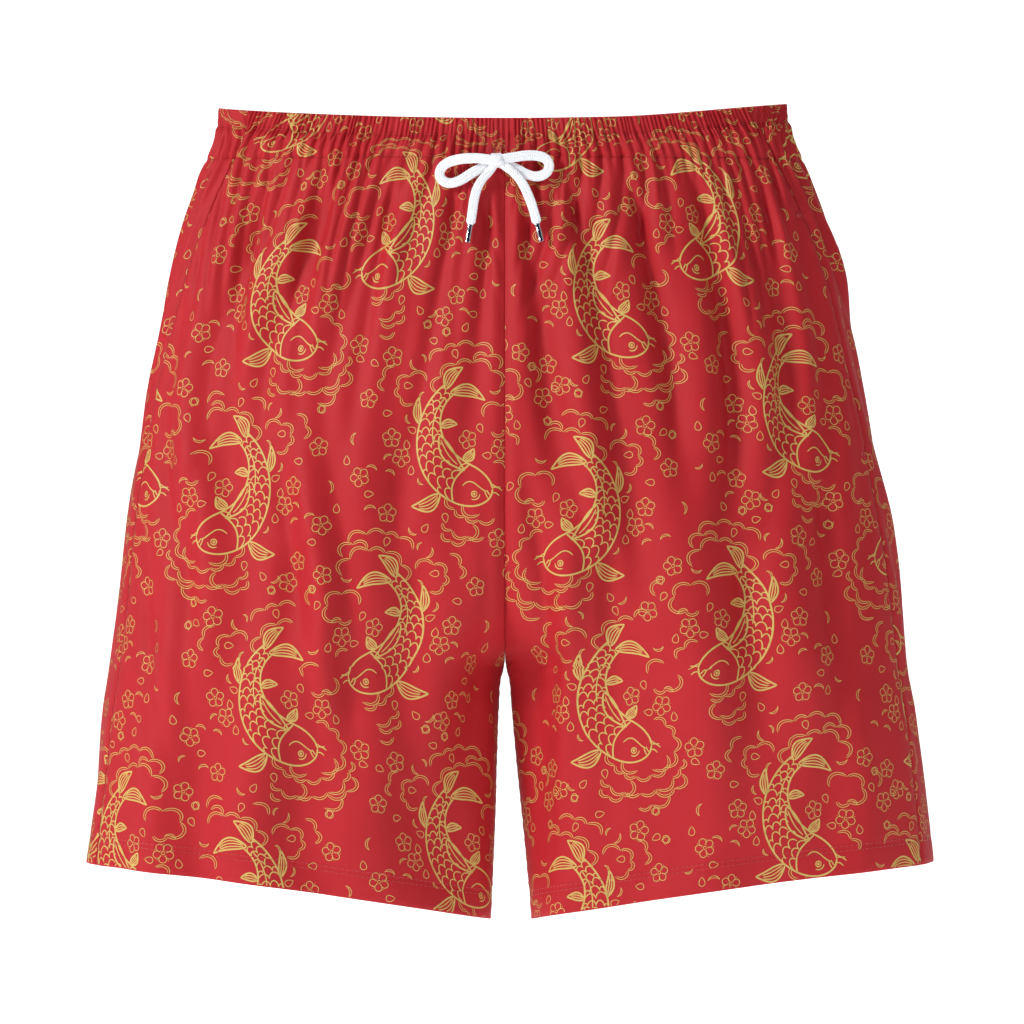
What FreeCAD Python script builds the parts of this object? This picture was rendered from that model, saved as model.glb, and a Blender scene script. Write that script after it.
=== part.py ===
import FreeCAD, Part
import math
import os

import Sketcher

# Drawstring shorts, worn shape, standing open.
# Origin: centre of the waist opening, in the plane of the waist's top edge.
# +Z up, the front faces -Y, +X is the wearer's left. Millimetres.

os.makedirs("parts", exist_ok=True)
doc = FreeCAD.newDocument("drawstring_shorts")
Vector = FreeCAD.Vector

# ---------------------------------------------------------------- driving sizes

SIZES = {
    "cloth": 1.2,               # thickness of one cloth layer
    "layer_gap": 0.3,           # between two cloth layers
    "turnup": 1.0,              # thickness of the hem's and the pocket's inner layers
    "allowance": 5.0,           # how far a seam allowance stands inwards
    "seam_width": 1.8,          # two cloth edges and their overlock
    "thread_low": 0.15,         # a stitch's underside, above the cloth
    "thread_high": 0.6,         # a stitch's crest
    "band_drop": 38.0,          # height of the waistband
    "panel_top": 38.3,          # where the panels start, under the waistband
    "band_depth": 8.2,          # both waistband layers and what they hold
    "channel_depth": 7.0,       # the channel's inner wall, from the outside
    "channel_margin": 1.5,      # waistband edge to the channel
    "elastic_out": 4.8,         # the elastic's outer face, from the outside
    "elastic_in": 6.4,          # and its inner face
    "elastic_margin": 2.4,      # waistband edge to the elastic
    "row_upper": 11.0,          # the waistband's upper stitch row, below the top edge
    "row_lower": 36.0,          # its lower stitch row
    "row_width": 0.8,
    "side_seam": 24.0,          # the side seam lies this far in front of the side
    "split": 100.0,             # a line inside each leg, between inseam and side seam
    "reach": 330.0,             # past the outside of everything
    "deep": 600.0,              # below everything
    "hem_drop": 550.0,          # hem's height below the waist, at x = 0
    "hem_slope": 0.1402,        # the hem rises outwards
    "turnup_rise": 20.0,        # height of the hem's inner layer
    "hem_row_low": 15.4,        # coverstitch rows above the hem's edge
    "hem_row_high": 18.6,
    "inseam_top": 376.0,        # crotch, below the waist
    "pocket_top": 75.0,         # pocket mouth in the side seam
    "pocket_low": 235.0,
    "bag_top": 48.0,
    "bag_low": 292.0,
    "bag_inner": 118.0,         # x of the bag's inner edge
    "bag_corner": 45.0,
    "bartack": 2.0,
    "cord_width": 5.0,          # the round braid, not flattened
    "cord_flat": 3.0,           # the same braid pressed flat in the channel
    "cord_tall": 6.5,
    "cord_drop": 32.5,          # the channel cord's centre, below the top edge
    "bow_x": -6.0,              # the bow sits a little to the wearer's right
    "exit_spread": 3.5,         # each buttonhole's centre, from the bow's
    "slot_wide": 3.4,
    "slot_tall": 7.6,
    "frame_wide": 6.2,
    "frame_tall": 11.0,
    "knot_wide": 5.0,           # the knot's three half sizes
    "knot_thick": 6.5,
    "knot_tall": 5.5,
    "knot_drop": 36.5,
    "knot_front": 68.0,         # knot's centre in front of the waist's centre
    "aglet_width": 3.6,
    "aglet_length": 12.4,
    "aglet_lip": 0.4,
    "size_label_wide": 24.0,
    "size_label_tall": 20.0,
    "care_label_wide": 28.0,
    "care_label_tall": 52.0,
    "label_thick": 0.4,
    "size_label_back": 46.4,    # the labels hang inside the back
    "care_label_back": 50.4,
}

# Sections of one leg, an ellipse at each level:
# drop below the waist's edge, x of the outside, x of the centre, half depth
LEG_LEVELS = {
    "join": (30, 197.5, 0.0, 59),
    "yoke": (62, 209, 0.3, 66),
    "high_hip": (99, 221, 1.9, 74),
    "hip": (170, 237, 13, 86),
    "seat": (240, 251, 37.5, 92),
    "low_seat": (300, 260.5, 72, 93),
    "fork": (342, 266, 104, 91),
    "fork_low": (360, 268, 121, 89.5),
    "crotch": (372, 269.2, 132.6, 88.3),
    "crotch_low": (384, 270.7, 136.2, 87),
    "thigh_high": (404, 274, 138.9, 85),
    "thigh": (440, 278, 142, 81),
    "hem_high": (505, 284, 147.2, 73.5),
    "hem_low": (585, 288.5, 152, 65),
}
# Sections of the waistband, centred: drop, half width, half depth
BAND_LEVELS = {
    "rim": (0, 192, 56),
    "waist": (19, 193.5, 57),
    "base": (38, 200, 60),
}

sizes = doc.addObject("Spreadsheet::Sheet", "sizes")
row = 0


def cell(alias, value):
    """One plain number in the sheet, with its alias."""
    global row
    row += 1
    sizes.set(f"A{row}", alias)
    sizes.set(f"B{row}", str(value))
    sizes.setAlias(f"B{row}", alias)


for alias, value in SIZES.items():
    cell(alias, value)
for level, (drop, outside, centre, depth) in LEG_LEVELS.items():
    cell(f"{level}_drop", drop)
    cell(f"{level}_outside", outside)
    cell(f"{level}_centre", centre)
    cell(f"{level}_depth", depth)
for level, (drop, half_width, depth) in BAND_LEVELS.items():
    cell(f"{level}_drop", drop)
    cell(f"{level}_outside", half_width)
    cell(f"{level}_centre", 0)
    cell(f"{level}_depth", depth)
doc.recompute()

# ---------------------------------------------------------------- building blocks

nodes = []


def node(obj, label):
    """Mark an object as a sub-part."""
    obj.Label = label
    nodes.append(obj)
    return obj


def ellipse_loft(name, levels, growth):
    """A ruled solid through the levels' ellipses, each grown outwards by an expression."""
    sections = []
    for level in levels:
        section = doc.addObject("Part::Ellipse", f"{name}_{level}")
        outside = f"sizes.{level}_outside - sizes.{level}_centre"
        section.setExpression("MajorRadius", f"{outside} + ({growth})")
        section.setExpression("MinorRadius", f"sizes.{level}_depth + ({growth})")
        section.setExpression("Placement.Base.x", f"sizes.{level}_centre")
        section.setExpression("Placement.Base.z", f"-sizes.{level}_drop")
        sections.append(section)
    loft = doc.addObject("Part::Loft", name)
    loft.Sections = sections
    loft.Solid = True
    loft.Ruled = True
    return loft


lofts = {}


def skin(levels_name, growth):
    """The loft of a leg or of the waistband at one distance from the cloth's face."""
    key = (levels_name, growth)
    if key not in lofts:
        levels = LEG_LEVELS if levels_name == "leg" else BAND_LEVELS
        lofts[key] = ellipse_loft(f"{levels_name}_skin_{len(lofts)}", levels, growth)
    return lofts[key]


def cut(name, base, tool):
    result = doc.addObject("Part::Cut", name)
    result.Base = base
    result.Tool = tool
    result.Refine = False
    return result


def common(name, *shapes):
    result = doc.addObject("Part::MultiCommon", name)
    result.Shapes = list(shapes)
    result.Refine = False
    return result


def fuse(name, *shapes):
    result = doc.addObject("Part::MultiFuse", name)
    result.Shapes = list(shapes)
    result.Refine = False
    return result


def layer(levels_name, outer, inner):
    """The cloth layer between two distances from the cloth's face."""
    name = f"{levels_name}_layer_{len(doc.Objects)}"
    return cut(name, skin(levels_name, outer), skin(levels_name, inner))


def box(name, low, high):
    """A box between two corners, each three expressions."""
    result = doc.addObject("Part::Box", name)
    for axis, size, start, end in zip("xyz", ("Length", "Width", "Height"), low, high):
        result.setExpression(size, f"({end}) - ({start})")
        result.setExpression(f"Placement.Base.{axis}", f"{start}")
    return result


def closed_sketch(body, name, role, outline):
    """A polygon on one origin plane; each point is two expressions."""
    sketch = body.newObject("Sketcher::SketchObject", name)
    plane = next(f for f in body.Origin.OriginFeatures if f.Role == role)
    sketch.AttachmentSupport = (plane, [""])
    sketch.MapMode = "FlatFace"
    points = []
    for across, up in outline:
        points.append(Vector(float(sizes.evalExpression(across)), float(sizes.evalExpression(up)), 0))
    count = len(points)
    for index in range(count):
        sketch.addGeometry(Part.LineSegment(points[index], points[(index + 1) % count]), False)
    for index in range(count):
        sketch.addConstraint(Sketcher.Constraint("Coincident", index, 2, (index + 1) % count, 1))
    for index, (across, up) in enumerate(outline):
        for kind, text, value in (("DistanceX", across, points[index].x), ("DistanceY", up, points[index].y)):
            number = sketch.addConstraint(Sketcher.Constraint(kind, -1, 1, index, 1, value))
            sketch.setExpression(f"Constraints[{number}]", text)
    return sketch


def prism(name, role, outline, length):
    """A pad to both sides of an origin plane."""
    body = doc.addObject("PartDesign::Body", name)
    pad = body.newObject("PartDesign::Pad", f"{name}_pad")
    pad.Profile = closed_sketch(body, f"{name}_sketch", role, outline)
    pad.SideType = "Symmetric"
    pad.setExpression("Length", length)
    body.Tip = pad
    return body


def mirrored(source, label):
    """The wearer's right-hand copy of a left-hand sub-part."""
    twin = doc.addObject("Part::Mirroring", f"{source.Name}_twin")
    twin.Source = source
    twin.Normal = Vector(1, 0, 0)
    return node(twin, label)


# ---------------------------------------------------------------- leg panels

CLOTH_IN = "-sizes.cloth"
LINING_OUT = "-sizes.cloth - sizes.layer_gap"
LINING_IN = f"{LINING_OUT} - sizes.turnup"
THREAD_OUT = "sizes.thread_high"
THREAD_IN = "sizes.thread_low"
HALF_GAP = "sizes.layer_gap / 2"

# everything between the waistband and the slanting hem
between = prism("between_waist_and_hem", "XZ_Plane", [
    ("-sizes.reach", "-sizes.panel_top"),
    ("sizes.reach", "-sizes.panel_top"),
    ("sizes.reach", "-sizes.hem_drop + sizes.reach * sizes.hem_slope"),
    ("-sizes.reach", "-sizes.hem_drop - sizes.reach * sizes.hem_slope"),
], "sizes.reach")

FRONT_SEAM = f"-sizes.side_seam - {HALF_GAP}"
BACK_SEAM = f"-sizes.side_seam + {HALF_GAP}"
front_plan = prism("front_plan", "XY_Plane", [
    (HALF_GAP, "-sizes.reach"),
    ("sizes.reach", "-sizes.reach"),
    ("sizes.reach", FRONT_SEAM),
    ("sizes.split", FRONT_SEAM),
    ("sizes.split", f"-{HALF_GAP}"),
    (HALF_GAP, f"-{HALF_GAP}"),
], "sizes.deep * 2")
back_plan = prism("back_plan", "XY_Plane", [
    (HALF_GAP, HALF_GAP),
    ("sizes.split", HALF_GAP),
    ("sizes.split", BACK_SEAM),
    ("sizes.reach", BACK_SEAM),
    ("sizes.reach", "sizes.reach"),
    (HALF_GAP, "sizes.reach"),
], "sizes.deep * 2")

leg_cloth = layer("leg", "0", CLOTH_IN)
front_panel = node(common("front_panel", leg_cloth, front_plan, between), "front_panel_left")
mirrored(front_panel, "front_panel_right")
back_panel = node(common("back_panel", leg_cloth, back_plan, between), "back_panel_left")
mirrored(back_panel, "back_panel_right")

# ---------------------------------------------------------------- hems


def hem_band(name, low, high):
    """The slanting slab between two heights above the hem's edge."""
    left = "-sizes.hem_drop"
    right = "-sizes.hem_drop + sizes.reach * sizes.hem_slope"
    return prism(name, "XZ_Plane", [
        ("0", f"{left} + {low}"),
        ("sizes.reach", f"{right} + {low}"),
        ("sizes.reach", f"{right} + {high}"),
        ("0", f"{left} + {high}"),
    ], "sizes.reach")


leg_lining = layer("leg", LINING_OUT, LINING_IN)
turnup_band = hem_band("turnup_band", "sizes.layer_gap", "sizes.turnup_rise")
hem_turnup = node(common("hem_turnup", leg_lining, turnup_band), "hem_turnup_left")
mirrored(hem_turnup, "hem_turnup_right")

leg_thread = layer("leg", THREAD_OUT, THREAD_IN)
hem_rows = fuse(
    "hem_rows",
    hem_band("hem_row_lower", "sizes.hem_row_low", "sizes.hem_row_low + sizes.row_width"),
    hem_band("hem_row_upper", "sizes.hem_row_high", "sizes.hem_row_high + sizes.row_width"),
)
hem_stitching = node(common("hem_stitching", leg_thread, hem_rows), "hem_stitching_left")
mirrored(hem_stitching, "hem_stitching_right")

# ---------------------------------------------------------------- seam allowances inside

ALLOWANCE_IN = f"{LINING_OUT} - sizes.allowance"
HALF_SEAM = "sizes.seam_width / 2"
SEAM_TOP = "-sizes.bag_top"
leg_allowance = layer("leg", LINING_OUT, ALLOWANCE_IN)
above_turnup = hem_band("above_turnup", "sizes.turnup_rise + sizes.layer_gap", "sizes.deep")

side_slab = box(
    "side_slab",
    ("sizes.split", f"-sizes.side_seam - {HALF_SEAM}", "-sizes.deep"),
    ("sizes.reach", f"-sizes.side_seam + {HALF_SEAM}", SEAM_TOP),
)
mouth_gap = box(
    "mouth_gap",
    ("sizes.split", "-sizes.side_seam - sizes.allowance", "-sizes.pocket_low"),
    ("sizes.reach", "-sizes.side_seam + sizes.allowance", "-sizes.pocket_top"),
)
side_strip = cut("side_strip", side_slab, mouth_gap)
side_seam = node(common("side_seam", leg_allowance, side_strip, above_turnup), "side_seam_left")
mirrored(side_seam, "side_seam_right")

inseam_slab = box(
    "inseam_slab",
    (HALF_GAP, f"-{HALF_SEAM}", "-sizes.deep"),
    ("sizes.split", HALF_SEAM, "-sizes.inseam_top"),
)
inseam = node(common("inseam", leg_allowance, inseam_slab, above_turnup), "inseam_left")
mirrored(inseam, "inseam_right")

for side, near, far in (("front", "-sizes.reach", "-sizes.cloth"), ("back", "sizes.cloth", "sizes.reach")):
    rise_slab = box(
        f"{side}_rise_slab",
        (f"-{HALF_SEAM}", near, "-sizes.inseam_top"),
        (HALF_SEAM, far, SEAM_TOP),
    )
    node(common(f"{side}_rise", leg_allowance, rise_slab), f"{side}_rise_seam")

waist_slab = box(
    "waist_slab",
    (f"{HALF_SEAM} + sizes.layer_gap", "-sizes.reach", f"{SEAM_TOP} + sizes.layer_gap"),
    ("sizes.reach", "sizes.reach", "-sizes.panel_top - sizes.layer_gap"),
)
waist_seam = node(common("waist_seam", leg_lining, waist_slab), "waist_seam_left")
mirrored(waist_seam, "waist_seam_right")

# ---------------------------------------------------------------- side pockets, lying flat

POCKET_BACK_OUT = f"{LINING_IN} - sizes.turnup"
POCKET_BACK_IN = f"{POCKET_BACK_OUT} - sizes.turnup"
BAG_FRONT = f"-sizes.side_seam - {HALF_SEAM} - sizes.layer_gap"


def bag_slab(name, margin):
    """The bag's outline, seen from the front, with its two lower corners cut."""
    inner = f"sizes.bag_inner + {margin}"
    low = f"-sizes.bag_low + {margin}"
    return prism(name, "XZ_Plane", [
        (inner, f"{SEAM_TOP} - {margin}"),
        ("sizes.reach", f"{SEAM_TOP} - {margin}"),
        ("sizes.reach", "-sizes.pocket_low"),
        ("sizes.reach - sizes.split", low),
        (f"{inner} + sizes.bag_corner", low),
        (inner, f"{low} + sizes.bag_corner"),
    ], "sizes.reach")


in_front = box(
    "in_front",
    ("0", "-sizes.reach", "-sizes.deep"),
    ("sizes.reach", BAG_FRONT, "0"),
)
bag_whole = layer("leg", LINING_OUT, POCKET_BACK_IN)
bag_hollow = layer("leg", LINING_IN, POCKET_BACK_OUT)
bag_solid = common("bag_solid", bag_whole, bag_slab("bag_outline", "0"), in_front)
bag_space = common("bag_space", bag_hollow, bag_slab("bag_inside", "sizes.turnup * 2"))
pocket_bag = node(cut("pocket_bag", bag_solid, bag_space), "pocket_bag_left")
mirrored(pocket_bag, "pocket_bag_right")


def bartack_box(name, drop):
    return box(
        name,
        ("sizes.split", "-sizes.side_seam - sizes.allowance", f"-sizes.{drop} - sizes.bartack / 2"),
        ("sizes.reach", "-sizes.side_seam + sizes.allowance", f"-sizes.{drop} + sizes.bartack / 2"),
    )


bartack_boxes = fuse(
    "bartack_boxes",
    bartack_box("bartack_top", "pocket_top"),
    bartack_box("bartack_low", "pocket_low"),
)
bartacks = node(common("bartacks", leg_thread, bartack_boxes), "pocket_bartacks_left")
mirrored(bartacks, "pocket_bartacks_right")

# ---------------------------------------------------------------- waistband and elastic


def band_slice(name, top, base, back_edge="sizes.reach", front_edge="-sizes.reach"):
    """A slab across the waistband between two drops."""
    return box(name, ("-sizes.reach", front_edge, f"-({base})"), ("sizes.reach", back_edge, f"-({top})"))


band_whole = layer("band", "0", "-sizes.band_depth")
channel = common(
    "channel",
    layer("band", CLOTH_IN, "-sizes.channel_depth"),
    band_slice("channel_slice", "sizes.channel_margin", "sizes.band_drop - sizes.channel_margin"),
)
band_cloth = cut("band_cloth", band_whole, channel)


def beside_bow(name, side, half_wide, half_tall, near, far):
    """A box round one of the two places where the cord leaves the channel."""
    centre = f"sizes.bow_x + {side} * sizes.exit_spread"
    return box(
        name,
        (f"{centre} - {half_wide}", far, f"-sizes.cord_drop - {half_tall}"),
        (f"{centre} + {half_wide}", near, f"-sizes.cord_drop + {half_tall}"),
    )


SIDES = {"left": 1, "right": -1}
slots = {}
for side, sign in SIDES.items():
    slots[side] = beside_bow(
        f"slot_{side}", sign, "sizes.slot_wide / 2", "sizes.slot_tall / 2",
        "-sizes.waist_depth + sizes.elastic_out - sizes.layer_gap", "-sizes.reach",
    )
band_slotted = cut("band_slotted", band_cloth, fuse("both_slots", *slots.values()))
front_half = band_slice("front_half", "0", "sizes.band_drop", FRONT_SEAM)
back_half = band_slice("back_half", "0", "sizes.band_drop", "sizes.reach", BACK_SEAM)
node(common("band_front", band_slotted, front_half), "waistband_front")
node(common("band_back", band_cloth, back_half), "waistband_back")

elastic_slice = band_slice("elastic_slice", "sizes.elastic_margin", "sizes.band_drop - sizes.elastic_margin")
elastic_ring = layer("band", "-sizes.elastic_out", "-sizes.elastic_in")
node(common("elastic", elastic_ring, elastic_slice), "waistband_elastic")

band_rows = fuse(
    "band_rows",
    band_slice("row_upper_slice", "sizes.row_upper", "sizes.row_upper + sizes.row_width"),
    band_slice("row_lower_slice", "sizes.row_lower", "sizes.row_lower + sizes.row_width"),
)
band_thread = layer("band", THREAD_OUT, THREAD_IN)
row_ring = common("row_ring", band_thread, band_rows)

frames = {}
for side, sign in SIDES.items():
    frames[side] = beside_bow(
        f"frame_{side}", sign, "sizes.frame_wide / 2", "sizes.frame_tall / 2", "0", "-sizes.reach",
    )
node(cut("row_round_bow", row_ring, fuse("both_frames", *frames.values())), "waistband_stitching")
for side in SIDES:
    frame_ring = cut(f"frame_ring_{side}", frames[side], slots[side])
    node(common(f"buttonhole_in_{side}", band_thread, frame_ring), f"buttonhole_{side}")

# ---------------------------------------------------------------- drawcord inside the channel

cord_slice = band_slice(
    "cord_slice",
    "sizes.cord_drop - sizes.cord_tall / 2",
    "sizes.cord_drop + sizes.cord_tall / 2",
)
cord_layer = layer("band", LINING_OUT, f"{LINING_OUT} - sizes.cord_flat")
cord_ring = common("cord_ring", cord_layer, cord_slice)
ring_gap = box(
    "ring_gap",
    ("sizes.bow_x - sizes.exit_spread / 2", "-sizes.reach", "-sizes.deep"),
    ("sizes.bow_x + sizes.exit_spread / 2", "0", "0"),
)
exits = []
for side, sign in SIDES.items():
    exits.append(beside_bow(
        f"exit_{side}", sign, "sizes.cord_flat / 2", "sizes.cord_tall / 2 - sizes.thread_low",
        "-sizes.waist_depth + sizes.cloth + sizes.layer_gap", "-sizes.knot_front + sizes.knot_thick / 2",
    ))
open_ring = cut("open_ring", cord_ring, ring_gap)
node(fuse("channel_cord", open_ring, *exits), "drawcord_in_channel")

# ---------------------------------------------------------------- the bow

# Each route runs along the cord's centre, from the knot outwards.
LOOP_LEFT = [
    (-2.4, -71.0, -35.8), (6.8, -70.2, -34.0), (17.5, -69.2, -32.6), (26.3, -68.6, -34.0),
    (30.0, -68.6, -38.6), (28.6, -68.8, -44.2), (22.8, -68.8, -47.4), (15.2, -67.8, -46.2),
    (6.6, -66.6, -41.2), (-2.2, -65.8, -38.2),
]
LOOP_RIGHT = [
    (-9.6, -71.0, -36.0), (-20.0, -70.2, -34.6), (-31.0, -69.2, -35.4), (-39.4, -68.7, -38.0),
    (-43.9, -68.6, -43.1), (-43.2, -68.7, -48.8), (-37.6, -68.8, -52.0), (-30.4, -68.6, -50.2),
    (-23.2, -67.8, -45.4), (-16.2, -66.7, -41.4), (-9.4, -65.8, -38.4),
]
TAIL_LEFT = [
    (1.4, -71.6, -41.2), (6.6, -71.4, -45.2), (11.8, -71.4, -51.5),
    (15.8, -71.8, -60.0), (19.2, -73.4, -69.6), (21.5, -75.4, -79.0),
]
TAIL_RIGHT = [
    (-9.8, -70.0, -43.4), (-14.5, -70.5, -48.0), (-18.3, -70.9, -53.9),
    (-20.5, -71.8, -61.4), (-21.7, -73.4, -70.6), (-23.1, -75.4, -79.6),
]
ARC_SHARE = 0.45


def rounded_route(name, route):
    """Straight runs joined by tangent arcs, each as large as its runs allow."""
    points = [Vector(*point) for point in route]
    edges = []
    radii = []
    here = points[0]
    for before, corner, after in zip(points, points[1:], points[2:]):
        back = (before - corner).normalize()
        ahead = (after - corner).normalize()
        half_turn = (math.pi - back.getAngle(ahead)) / 2
        setback = ARC_SHARE * min(before.distanceToPoint(corner), corner.distanceToPoint(after))
        radius = setback / math.tan(half_turn)
        arc_start = corner + back * setback
        arc_end = corner + ahead * setback
        to_centre = (back + ahead).normalize()
        middle = corner + to_centre * (radius / math.cos(half_turn) - radius)
        edges.append(Part.makeLine(here, arc_start))
        edges.append(Part.Arc(arc_start, middle, arc_end).toShape())
        radii.append(radius)
        here = arc_end
    edges.append(Part.makeLine(here, points[-1]))
    path = doc.addObject("Part::Feature", f"{name}_path")
    path.Shape = Part.Wire(edges)
    print(name, "radii", " ".join(f"{radius:.1f}" for radius in radii), f"length {path.Shape.Length:.1f}")
    return path


cord_tubes = {}


def cord_tube(label, route):
    """A round cord along a route."""
    path = rounded_route(label, route)
    start, second = Vector(*route[0]), Vector(*route[1])
    section = doc.addObject("Part::Circle", f"{label}_section")
    section.setExpression("Radius", "sizes.cord_width / 2")
    section.Placement = FreeCAD.Placement(start, FreeCAD.Rotation(Vector(0, 0, 1), second - start))
    tube = doc.addObject("Part::Sweep", f"{label}_tube")
    tube.Sections = [section]
    tube.Spine = (path, [f"Edge{number + 1}" for number in range(len(path.Shape.Edges))])
    tube.Solid = True
    cord_tubes[label] = (tube, path)
    return node(tube, label)


cord_tube("bow_loop_left", LOOP_LEFT)
cord_tube("bow_loop_right", LOOP_RIGHT)
cord_tube("cord_tail_left", TAIL_LEFT)
cord_tube("cord_tail_right", TAIL_RIGHT)

knot = doc.addObject("PartDesign::Body", "knot")
knot_core = knot.newObject("PartDesign::AdditiveEllipsoid", "knot_core")
knot_core.setExpression("Radius1", "sizes.knot_tall")
knot_core.setExpression("Radius2", "sizes.knot_wide")
knot_core.setExpression("Radius3", "sizes.knot_thick")
knot.Tip = knot_core
knot.setExpression("Placement.Base.x", "sizes.bow_x")
knot.setExpression("Placement.Base.y", "-sizes.knot_front")
knot.setExpression("Placement.Base.z", "-sizes.knot_drop")
node(knot, "bow_knot")


def aglet(label, route):
    """A metal tip, its face against the end of the cord, with rounded lips."""
    body = doc.addObject("PartDesign::Body", label)
    sketch = closed_sketch(body, f"{label}_sketch", "XZ_Plane", [
        ("0", "0"),
        ("sizes.aglet_width / 2 - sizes.aglet_lip", "0"),
        ("sizes.aglet_width / 2", "sizes.aglet_lip"),
        ("sizes.aglet_width / 2", "sizes.aglet_length - sizes.aglet_lip"),
        ("sizes.aglet_width / 2 - sizes.aglet_lip", "sizes.aglet_length"),
        ("0", "sizes.aglet_length"),
    ])
    turned = body.newObject("PartDesign::Revolution", f"{label}_turned")
    turned.Profile = sketch
    turned.ReferenceAxis = (sketch, ["V_Axis"])
    turned.Angle = 360
    body.Tip = turned
    end, before = Vector(*route[-1]), Vector(*route[-2])
    body.Placement = FreeCAD.Placement(end, FreeCAD.Rotation(Vector(0, 0, 1), end - before))
    return node(body, label)


aglet("aglet_left", TAIL_LEFT)
aglet("aglet_right", TAIL_RIGHT)

# ---------------------------------------------------------------- labels inside the back


def hanging_label(label, wide, tall, top, back):
    """A blank woven label, upright, facing the front."""
    body = prism(label, "XZ_Plane", [
        (f"-{wide} / 2", f"-{top} - {tall}"),
        (f"{wide} / 2", f"-{top} - {tall}"),
        (f"{wide} / 2", f"-{top}"),
        (f"-{wide} / 2", f"-{top}"),
    ], "sizes.label_thick")
    body.setExpression("Placement.Base.y", back)
    return node(body, label)


hanging_label("size_label", "sizes.size_label_wide", "sizes.size_label_tall",
              "sizes.channel_margin", "sizes.size_label_back")
hanging_label("care_label", "sizes.care_label_wide", "sizes.care_label_tall",
              "sizes.band_drop", "sizes.care_label_back")

# ---------------------------------------------------------------- checks and export

doc.recompute()
for obj in doc.Objects:
    if "Invalid" in obj.State or "Error" in obj.State:
        raise RuntimeError(f"{obj.Name} failed: {obj.State}")

for label, (tube, path) in cord_tubes.items():
    expected = math.pi * (SIZES["cord_width"] / 2) ** 2 * path.Shape.Length
    if abs(tube.Shape.Volume / expected - 1) > 0.02:
        raise RuntimeError(f"{label} has volume {tube.Shape.Volume:.0f}, not {expected:.0f}")

for sub_part in nodes:
    shape = sub_part.Shape
    if shape.isNull() or not shape.isValid() or not shape.Solids:
        raise RuntimeError(f"{sub_part.Label} has no valid solid")
    shape.exportStep(f"parts/{sub_part.Label}.step")
    print(f"{sub_part.Label:24s} solids {len(shape.Solids)} volume {shape.Volume:10.1f}")
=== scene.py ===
import math

import bpy
import numpy as np
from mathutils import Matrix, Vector


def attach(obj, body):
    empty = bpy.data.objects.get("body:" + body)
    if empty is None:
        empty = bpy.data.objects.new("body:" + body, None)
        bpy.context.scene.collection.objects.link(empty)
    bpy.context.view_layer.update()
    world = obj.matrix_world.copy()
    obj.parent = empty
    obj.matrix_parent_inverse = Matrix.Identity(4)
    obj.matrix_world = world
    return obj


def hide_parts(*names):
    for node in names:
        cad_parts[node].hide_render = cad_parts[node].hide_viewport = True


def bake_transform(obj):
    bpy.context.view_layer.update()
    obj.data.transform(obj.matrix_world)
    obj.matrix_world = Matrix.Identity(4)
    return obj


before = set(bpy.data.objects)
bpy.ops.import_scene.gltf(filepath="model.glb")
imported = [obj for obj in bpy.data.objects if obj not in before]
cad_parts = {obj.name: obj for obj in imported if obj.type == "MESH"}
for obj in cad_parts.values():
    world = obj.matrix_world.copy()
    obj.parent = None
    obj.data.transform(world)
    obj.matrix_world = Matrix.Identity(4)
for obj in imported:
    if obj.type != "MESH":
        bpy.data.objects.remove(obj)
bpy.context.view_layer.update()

# Drawstring shorts, filled out as if worn. Metres, +Z up, front towards -Y, +X the wearer's left.
# Lengths in the cloth's own formulas are millimetres: `drop` is the height below the waist's edge,
# `share` runs across a panel from the middle of the body (0) to the side seam (1).

MM = 0.001
ROOT = "shorts"
SIDES = {"left": 1, "right": -1}

# ---------------------------------------------------------------- camera, floor, light

LENS = 300.0
SENSOR = 36.0
VIEW_WIDTH = 0.6912
AIM = Vector((0.0047, 0.0, -0.2742))

camera_data = bpy.data.cameras.new("camera")
camera_data.lens = LENS
camera_data.sensor_width = SENSOR
camera_data.clip_end = 20.0
camera = bpy.data.objects.new("camera", camera_data)
camera.location = AIM - Vector((0, VIEW_WIDTH * LENS / SENSOR, 0))
camera.rotation_euler = (math.radians(90), 0, 0)
bpy.context.collection.objects.link(camera)
bpy.context.scene.camera = camera

# ---------------------------------------------------------------- node materials


def new_material(name, roughness, metallic=0.0, sheen=0.0, specular=0.5):
    """A material, a helper that adds a node to it and one that fills in its shader."""
    material = bpy.data.materials.new(name)
    material.use_nodes = True
    tree = material.node_tree

    def fill(owner, values):
        for key, value in values.items():
            if isinstance(value, bpy.types.NodeSocket):
                tree.links.new(value, owner.inputs[key])
            else:
                owner.inputs[key].default_value = value

    def node(kind, inputs=None, **settings):
        made = tree.nodes.new(kind)
        for key, value in settings.items():
            setattr(made, key, value)
        fill(made, inputs or {})
        return made

    def shade(values, height=None, distance=0.0, strength=0.0):
        """Fills in the shader. height is a relief from 0 to 1 that stands distance metres high."""
        if height is not None:
            bump = node("ShaderNodeBump", {"Height": height, "Distance": distance, "Strength": strength})
            values = {**values, "Normal": bump.outputs[0]}
        fill(tree.nodes["Principled BSDF"], values)

    shade({
        "Roughness": roughness, "Metallic": metallic, "Sheen Weight": sheen, "Specular IOR Level": specular,
    })
    return material, node, shade


def calc(node, operation, *values):
    return node("ShaderNodeMath", dict(enumerate(values)), operation=operation).outputs[0]


def speckle(node, place, scale, detail, **more):
    return node("ShaderNodeTexNoise", {"Vector": place, "Scale": scale, "Detail": detail, **more}).outputs["Fac"]


def stretched(node, place, scale):
    return node("ShaderNodeMapping", {"Vector": place, "Scale": scale}).outputs[0]


def flat_pattern(node):
    """Coordinates on the flat pattern, in metres: both together, along, across."""
    flat = node("ShaderNodeUVMap", uv_map="flat").outputs["UV"]
    split = node("ShaderNodeSeparateXYZ", {"Vector": flat})
    return flat, split.outputs["X"], split.outputs["Y"]


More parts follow.
